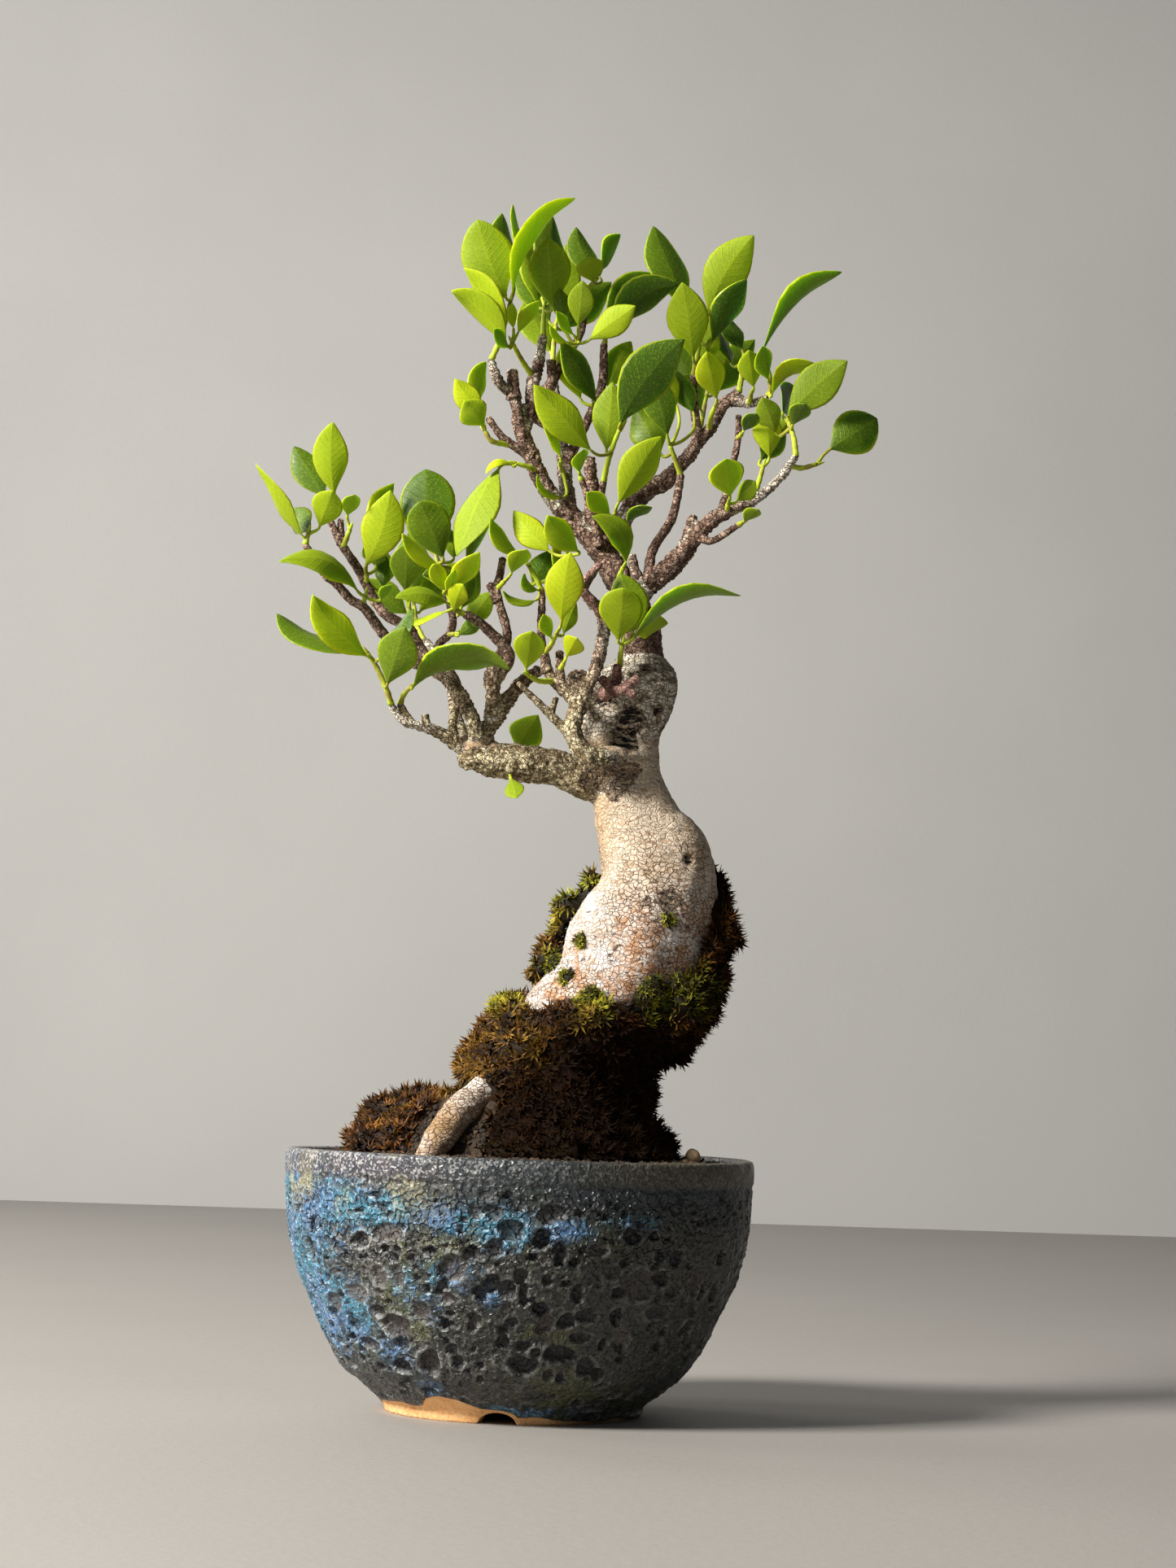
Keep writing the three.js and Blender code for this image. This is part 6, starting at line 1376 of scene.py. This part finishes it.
        [-10, 352, -6, -3.4, 363.6, -12, 4, 0.8], [-11.4, 353.5, -8, -12.4, 362.4, -12, 3.6, 0.95]]),
    "crown_03": ("mature", [[-1.5, 351.5, 4], [-1.6, 356, 4], [-1.4, 361, 4]], [
        [1.1, 361, 0, -1.1, 384.3, -8, 13, 0.5, 0, 1, 0.5], [-3.8, 362, 7, -5.1, 384, 13, 9, 0.45],
        [1.5, 368, 10, -0.6, 391.5, 20, 10, 0.16], [-3, 366, 16, -14.5, 395, 18, 5, 0.8]]),
    "crown_04": ("mature", [[12.4, 366.5, 2], [14, 369.5, 1]], [
        [14.4, 370.2, -1, 12.6, 378.4, -5, 8.6, 0.7, 0, 1, 0.8], [16.8, 371.5, 5, 8, 388, 10, 8.6, 0.06, 1.6],
        [17, 374, 9, 22.3, 386.5, 18, 4, 0.45]]),
    "crown_05": ("young", [[8.6, 348.5, 3], [10, 349.5, -4]], [[8.6, 352, -6, 2, 359.8, -14, 4.5, 0.75],
        [6.6, 349.5, -7, 0.2, 354.6, -14, 3.6, 1, 0.6], [5, 356, 0, 3.4, 367.5, -3, 6, 0.15],
        [13.7, 350.5, -6, 28.8, 362.5, -13, 9, 0.72], [10, 355, -7, 11, 370.5, -14, 8, 0.45]]),
    "crown_06": ("mature", [[18.7, 349, 8], [19.4, 352.5, 9]], [[19.9, 355, 12, 34.3, 373.4, 20, 9.4, 0.06, 1.6],
        [20.9, 353.6, 4, 42.6, 370.8, 2, 10, -0.02, 3]]),
    "right_01": ("young", [[48.7, 339.5, 14], [49.2, 344, 13], [50.5, 352, 13], [50.8, 360, 14]], [
        [48.4, 345.5, 8, 44, 370.8, 0, 13, 0.62], [45.6, 362, 15, 33.4, 388.8, 21, 12.4, 0.1],
        [53, 360.6, 12, 67.2, 387.2, 7, 13.5, 0.55, 2], [54.4, 351, 10, 64.8, 373, 1, 8, -0.15],
        [53.4, 345.5, 14, 56, 354.2, 18, 5, 0.75]]),
    "right_02": ("young", [[54.3, 321.3, 12], [54.8, 326, 5], [56, 329.5, 2]], [
        [56.5, 332, 0, 52.4, 347.9, -9, 9.5, 0.94]]),
    "right_03": ("young", [[67.4, 331, 6], [67.8, 334, 1]], [[68.6, 336.3, -1, 66.5, 349, -9, 8, 0.72]]),
    "right_04": ("mature", [[63.8, 334.5, 9], [64.5, 340, 11], [65, 345, 12]], [
        [64.6, 348.5, 12, 57.5, 361, 18, 7, -0.15], [61, 344, 17, 56, 357, 30, 6, 0.06]]),
    "right_05": ("young", [[73.5, 333.6, 0], [74.3, 337, -1], [72.6, 345, -2]], [
        [71.2, 348.6, -2, 96, 377.5, -12, 1.6, 0.3, 2.6], [73.4, 339, -6, 70.6, 350.5, -18, 6.5, 0.45],
        [74.6, 333.8, -4, 88.2, 345.9, -14, 3.6, 0.95, 2.4]]),
    "right_06": ("mature", [[83.2, 313.6, -16], [82.3, 320, -13], [80.5, 325, -11]], [
        [80, 326.6, -10, 99.4, 345.9, -17, 12.5, 0.32, 1], [78.4, 328, -9, 81, 337, 8, 5, 0.06],
        [76.4, 321, -10, 71.4, 333, -14, 8, 0.4], [77.6, 320.5, -9, 80.8, 327, -2, 6, 0.3],
        [81.8, 324, -15, 86, 332, -28, 6, 0.06]]),
    "right_07": ("mature", [[81.3, 310.6, -15.2], [85, 309.8, -14], [90, 311.2, -12]], [
        [94.4, 316.4, -10, 109.2, 326.8, -5, 14, 0.06, 0, 1, 1]]),
    "right_08": ("young", [[61, 294.2, -12], [61.2, 297, -16]], [[61.8, 299.5, -18, 59.6, 312.4, -31, 11, 0.8],
        [64, 298, -16, 70.5, 305, -25, 6, 0.4, 0, -1]]),
    "right_09": ("mature", [[68.9, 298, -13], [71, 304, -9], [72.5, 310, -7]], [[74.4, 313, -7, 73, 329, -12, 9, 0.8],
        [71.5, 312, -2, 79, 323, 8, 8, 0.06]]),
    "right_10": ("mature", [[63.9, 319, -2], [65, 320.5, -6]], [[65.6, 321.5, -8, 70, 328, -18, 4.5, -0.15]]),
    "right_11": ("young", [[64.7, 290, -14], [66.2, 291, -14.5]], [[66.6, 291.4, -15, 71.5, 296, -25, 3.5, 0.45]]),
    "back_01": ("mature", [[50.6, 318, 44], [52, 326, 46], [53, 333, 47]], [[50.5, 330, 48, 42, 350, 54, 12, 0.1],
        [54, 336, 46, 54, 360, 42, 12, 0.5], [55.5, 334, 50, 68, 352, 58, 11, 0.2],
        [51.5, 328, 42, 45, 340, 28, 10, 0.35]]),
    "back_02": ("mature", [[2, 340, 40], [2, 348, 42], [2.5, 355, 43]], [[0.5, 356, 43, -10, 378, 48, 12, 0.1],
        [3, 358, 42, 5, 382, 38, 12, 0.5], [5, 354, 45, 20, 370, 52, 11, 0.2], [1, 346, 46, -8, 362, 60, 11, 0.35]]),
    "back_03": ("mature", [[-37, 248, 40], [-40, 254, 42], [-41, 260, 43]], [[-41.5, 263, 43, -43, 284, 47, 12, 0.1],
        [-39, 258, 46, -28, 274, 56, 11, 0.5], [-43, 257, 41, -58, 268, 38, 10, 0.2]]),
}


def leafMaterial():
    material, shader, place = newMaterial("figLeaf")
    u, v, _ = splitNode(nodeBeside([place], "ShaderNodeUVMap", uv_map="blade").outputs[0])
    side = mathNode("ABSOLUTE", timesPlus(u, 2.0, -1.0))
    age, under, stalk = fields(place, "age", "under", "stalk")
    midrib = ramp(side, 0.02, 0.10, 1.0, 0.0)
    slant = timesPlus(side, -0.22, v)
    saw = mathNode("FRACT", times(slant, 11.0))
    veins = ramp(mathNode("ABSOLUTE", minus(saw, 0.5)), 0.0, 0.10, 1.0, 0.0)
    margin = ramp(side, 0.88, 0.97)
    blotch = noiseNode(place, 160.0, 3.0, 0.6)
    speck = speckle(place, 1500.0)
    ageAndLightHere = plus(age, times(minus(blotch, 0.5), 0.25))
    ageAndLightHere = timesPlus(ramp(side, 0.45, 1.0), 0.12, ageAndLightHere)
    # colour by tone: below 0 a painted bluish reflection; above it the leaf's colour by age, with painted shade and
    # glow in it
    color = mixColor(ramp(ageAndLightHere, -0.2, 0.05), (0.003, 0.024, 0.010), (0.005, 0.021, 0.001))
    color = mixColor(ramp(ageAndLightHere, 0.05, 0.5), color, (0.040, 0.105, 0.001))
    color = mixColor(ramp(ageAndLightHere, 0.45, 0.78), color, (0.20, 0.320, 0.001))
    color = mixColor(ramp(ageAndLightHere, 0.78, 1.0), color, (0.50, 0.56, 0.001))
    pale = mixColor(age, (0.080, 0.150, 0.008), (0.50, 0.60, 0.012))
    color = mixColor(times(under, 0.75), color, pale)
    lines = mathNode("MAXIMUM", times(midrib, 0.75), times(veins, 0.16))
    color = mixColor(lines, color, pale)
    color = mixColor(times(margin, 0.7), color, (0.42, 0.56, 0.02))
    color = mixColor(ramp(speck, 0.52, 0.68, 0.0, 0.22), color, (0.02, 0.055, 0.004))
    color = mixColor(ramp(speck, 0.48, 0.34, 0.0, 0.25), color, (0.40, 0.50, 0.03))
    stem = mixColor(ramp(blotch, 0.45, 0.65), (0.46, 0.55, 0.04), (0.34, 0.26, 0.05))
    color = mixColor(stalk, color, stem)
    gloss = timesPlus(under, 0.18, ramp(age, -0.1, 0.7, 0.24, 0.42))
    relief = timesPlus(veins, -0.35, times(speck, 0.25))
    finish(shader, color, gloss, bumpNode(relief, 0.0003, 0.6), {"Subsurface Weight": 0.45,
        "Subsurface Radius": (0.6, 1.0, 0.05), "Subsurface Scale": 0.0016, "Specular IOR Level": 0.18,
        "Coat Weight": ramp(age, 0.5, 0.0, 0.01, 0.08), "Coat Roughness": 0.25})
    return material


class Foliage:  # collects one shoot's points, faces and per-point values
    def __init__(self):
        self.points, self.faces, self.uvs = [], [], []
        self.age, self.under, self.stalk = [], [], []

    def add(self, points, faces, age, under, stalk, uvs=None):
        base = len(self.points)
        self.points.extend(points)
        self.faces.extend(tuple(i + base for i in f) for f in faces)
        n = len(points)
        self.age.extend([age] * n)
        self.under.extend(under if hasattr(under, "__len__") else [under] * n)
        self.stalk.extend([stalk] * n)
        self.uvs.extend(uvs if uvs is not None else [(0.5, 0.5)] * n)


def nearestOn(stem, point):
    best = None
    for a, b in zip(stem[:-1], stem[1:]):
        t = np.clip(np.dot(point - a, b - a) / np.dot(b - a, b - a), 0, 1)
        near = a + (b - a) * t
        if best is None or np.linalg.norm(near - point) < np.linalg.norm(best - point):
            best = near
    if np.linalg.norm(best - stem[0]) < leaf["stemClear"]:
        best = stem[0] + unit(stem[1] - stem[0]) * leaf["stemClear"]
    return best


def growLeaf(foliage, stem, rng, x0, z0, y0, x1, z1, y1, seen, age, bow=0, turn=1, blunt=None):
    if blunt is None:
        blunt = rng.uniform(0, 0.3)
    base, tip = at(x0, z0, y0), at(x1, z1, y1)
    length = np.linalg.norm(tip - base)
    full = max(seen, length * leaf["widthToLength"])
    twist = turn * math.acos(min(1, seen / full))
    width = full * leaf["broaden"]
    reach = math.hypot(x1 - x0, z1 - z0)
    away = np.array([-(z1 - z0) / reach, 0, (x1 - x0) / reach])
    phase, wave = rng.uniform(0, 6.3), rng.uniform(0.6, 1.4) * leaf["wave"] * length
    lean, cup = rng.uniform(-0.15, 0.15), rng.uniform(0.6, 1.5)

    def spine(t):
        hump = 4 * t * (1 - t)
        return base + (tip - base) * t + away * bow * hump + np.array([0, -length * leaf["arch"] * hump, 0])

    def cross(along, t):
        flat = unit(np.cross([0, 1.0, 0], along))
        deep = np.cross(along, flat)
        angle = twist + lean * t
        across = flat * math.cos(angle) + deep * math.sin(angle)
        return across, np.cross(along, across)

    shareAt = np.linspace(0, 1, 60)
    pointed, rounded = (lookUp(shareAt, outline) for outline in (bladeOutline, roundOutline))
    shares = pointed + (rounded - pointed) * blunt
    ts = np.array([0, 0.05, 0.12, 0.21, 0.32, 0.44, 0.56, 0.67, 0.77, 0.86, 0.93, 0.975, 1.0])
    top, low, uvs = [], [], []
    for t in ts:
        along = unit(spine(min(t + 0.02, 1)) - spine(max(t - 0.02, 0)))
        across, up = cross(along, t)
        half = width / 2 * np.interp(t, shareAt, shares)
        droop = -leaf["tipCurl"] * length * smoothStep(np.array(t), 0.7, 1.0) * 0.5
        for s in bladeColumns:
            lift = (s * s * 0.9 + abs(s) * 0.1) * half * leaf["fold"] * cup
            lift += (wave * abs(s) ** 2 * math.sin(2.5 * math.pi * t + phase + (1.2 if s > 0 else 0))
                * math.sin(math.pi * t))
            centre = spine(t) + across * s * half + up * (lift + droop)
            groove = leaf["groove"] * math.exp(-(s / leaf["grooveWidth"]) ** 2) * min(1, half)
            body = leaf["thickness"] / 2 * (1 - abs(s) ** 3) * min(1, half / 0.8)
            top.append(centre + up * (body - groove))
            low.append(centre - up * (body + groove * 1.6))
            uvs.append((s * 0.5 + 0.5, t))
    m = len(bladeColumns)
    points, faces, shade = list(top), [], [0.0] * len(top)
    lowIndex = {}
    for i in range(len(ts)):
        for j in range(m):
            if j in (0, m - 1):
                lowIndex[i, j] = i * m + j
            else:
                lowIndex[i, j] = len(points)
                points.append(low[i * m + j])
                shade.append(1.0)
                uvs.append(uvs[i * m + j])
    for i in range(len(ts) - 1):
        for j in range(m - 1):
            a, b, c, d = i * m + j, i * m + j + 1, (i + 1) * m + j + 1, (i + 1) * m + j
            faces.append((a, b, c, d))
            faces.append((lowIndex[i, j], lowIndex[i + 1, j], lowIndex[i + 1, j + 1], lowIndex[i, j + 1]))
    faces.append([lowIndex[0, j] for j in range(m)] + [j for j in range(m - 2, 0, -1)])
    last = len(ts) - 1
    faces.append([last * m + j for j in range(m)] + [lowIndex[last, j] for j in range(m - 2, 0, -1)])
    foliage.add(points, faces, age, shade, 0.0, uvs)

    root = nearestOn(stem, base)
    heading = unit(spine(0.03) - spine(0))
    gap = np.linalg.norm(base - root)
    inside = base + heading * min(1.4, 0.06 * length)
    drop = np.array([0, 0, -0.06 * gap])
    bend = base - heading * gap * 0.35
    line = catmull([root, (root * 0.62 + bend * 0.38) + drop * 0.5, bend * 0.6 + (root * 0.4 + base * 0.6) * 0.4,
        base, inside], 3)
    radii = np.linspace(leaf["petiole"] * 1.15, leaf["petiole"] * 0.8, len(line))
    radii[-3:] = [leaf["petiole"] * 0.7, leaf["petiole"] * 0.5, leaf["petiole"] * 0.25]
    foliage.add(*sweep(line, radii, leaf["petioleSides"]), max(0.6, age), 0.0, 0.7)


figLeaf = leafMaterial()
rng = np.random.default_rng(leaf["seed"])
leafTriangles = 0
for shootName, (shootAge, stemRows, leafRows) in shoots.items():
    foliage = Foliage()
    stem = np.array([at(*p) for p in stemRows])
    line = catmull(stem, 6)
    radii = np.linspace(leaf["stemBase"], leaf["stemTip"], len(line)) * (1 + 0.10 * np.sin(lengthAlong(line) * 2.1))
    foliage.add(*sweep(line, radii, leaf["stemSides"]), 0.9, 0.0, 1.0)
    ahead = unit(line[-1] - line[-2])
    budLine = np.array([line[-1] + ahead * d for d in (-0.4, 0.6, 1.6, 2.6, 3.2)])
    foliage.add(*sweep(budLine, leaf["bud"], leaf["budSides"]), 0.9, 0.0, 0.8)
    for row in leafRows:
        growLeaf(foliage, stem, rng, *row)
    name = "foliage" + "".join(word.capitalize() for word in shootName.split("_"))
    piece = addMesh(name, foliage.points, foliage.faces, figLeaf)
    mesh = piece.data
    addAttributes(mesh, age=foliage.age, under=foliage.under, stalk=foliage.stalk)
    layer = mesh.uv_layers.new(name="blade")
    corners = np.empty(len(mesh.loops), np.int32)
    mesh.loops.foreach_get("vertex_index", corners)
    layer.data.foreach_set("uv", np.asarray(foliage.uvs, np.float32)[corners].ravel())
    claim(piece, "leaf_" + shootAge, "leaves_" + shootName)
    leafTriangles += triangles(piece)
print("leaves:", sum(len(leafRows) for _, _, leafRows in shoots.values()), "blades,", leafTriangles, "triangles")

# floor, backdrop, light and camera

studio = dict(wallBehind=1.52, floorTone=(0.34, 0.318, 0.292), wallTone=(0.53, 0.52, 0.495), keyPower=45.0,
    fillPower=1.15, rimPower=4.5, wallPower=6.8, skyTone=(0.86, 0.92, 1.0), skyStrength=0.10, halfWidth=3000,
    wallHeight=2600)


def stageMaterial(name, tone, grain):
    return plainMaterial(name, grain, 1.6, tone, tuple(c * 0.94 for c in tone), (0.62, 0.72), (0.0006, 0.25))


def sheetAlong(name, section, material):
    points = [[x, y, z] for y, z in section for x in (-studio["halfWidth"], studio["halfWidth"])]
    addMesh(name, points, [(0, 1, 3, 2)], material, smooth=False)


behind = studio["wallBehind"] * 1000
sheetAlong("floorSheet", [[-studio["halfWidth"], 0], [behind, 0]],
    stageMaterial("paleFloor", studio["floorTone"], 240.0))
sheetAlong("wallSheet", [[behind, -10], [behind, studio["wallHeight"]]],
    stageMaterial("paleWall", studio["wallTone"], 300.0))


def areaLight(name, place, aim, power, size, color, spread=180):
    lamp = bpy.data.lights.new(name, "AREA")
    lamp.energy, lamp.shape, lamp.size, lamp.size_y = power, "RECTANGLE", size[0], size[1]
    lamp.color, lamp.spread = color, math.radians(spread)
    holder = bpy.data.objects.new(name, lamp)
    holder.location = Vector(potAxis) + Vector(place)
    holder.rotation_euler = (Vector(aim) - Vector(place)).to_track_quat("-Z", "Y").to_euler()
    bpy.context.scene.collection.objects.link(holder)


areaLight("windowLight", (-1.02, -0.68, 0.92), (0, 0, 0.2), studio["keyPower"], (0.36, 0.36), (1.0, 0.975, 0.93))
areaLight("frontFill", (-0.6, -1.9, 0.9), (0, 0, 0.2), studio["fillPower"], (1.4, 1.2), (0.95, 0.97, 1.0))
areaLight("backRim", (-0.9, 0.9, 0.9), (0, 0, 0.25), studio["rimPower"], (0.5, 0.5), (1.0, 0.98, 0.95))
areaLight("wallWash", (-1.5, 0.35, 1.0), (0.25, 1.52, 0.3), studio["wallPower"], (0.6, 0.9), (1.0, 0.99, 0.97), 130)

bpy.context.scene.view_settings.view_transform = "Standard"
world = bpy.data.worlds.new("softRoom")
world.use_nodes = True
bpy.context.scene.world = world
background = world.node_tree.nodes["Background"]
background.inputs["Color"].default_value = (*studio["skyTone"], 1)
background.inputs["Strength"].default_value = studio["skyStrength"]

lens = bpy.data.cameras.new("view")
lens.lens, lens.sensor_width, lens.sensor_fit = view["lens"], view["sensor"], "AUTO"
lens.clip_start, lens.clip_end = 0.05, 20
camera = bpy.data.objects.new("view", lens)
camera.location = eye
tilt = Matrix.Rotation(math.radians(90 + view["pitch"]), 3, "X")
roll = Matrix.Rotation(math.radians(view["roll"]), 3, "Z")
camera.rotation_euler = (tilt @ roll).to_euler()
bpy.context.scene.collection.objects.link(camera)
bpy.context.scene.camera = camera

print("done")
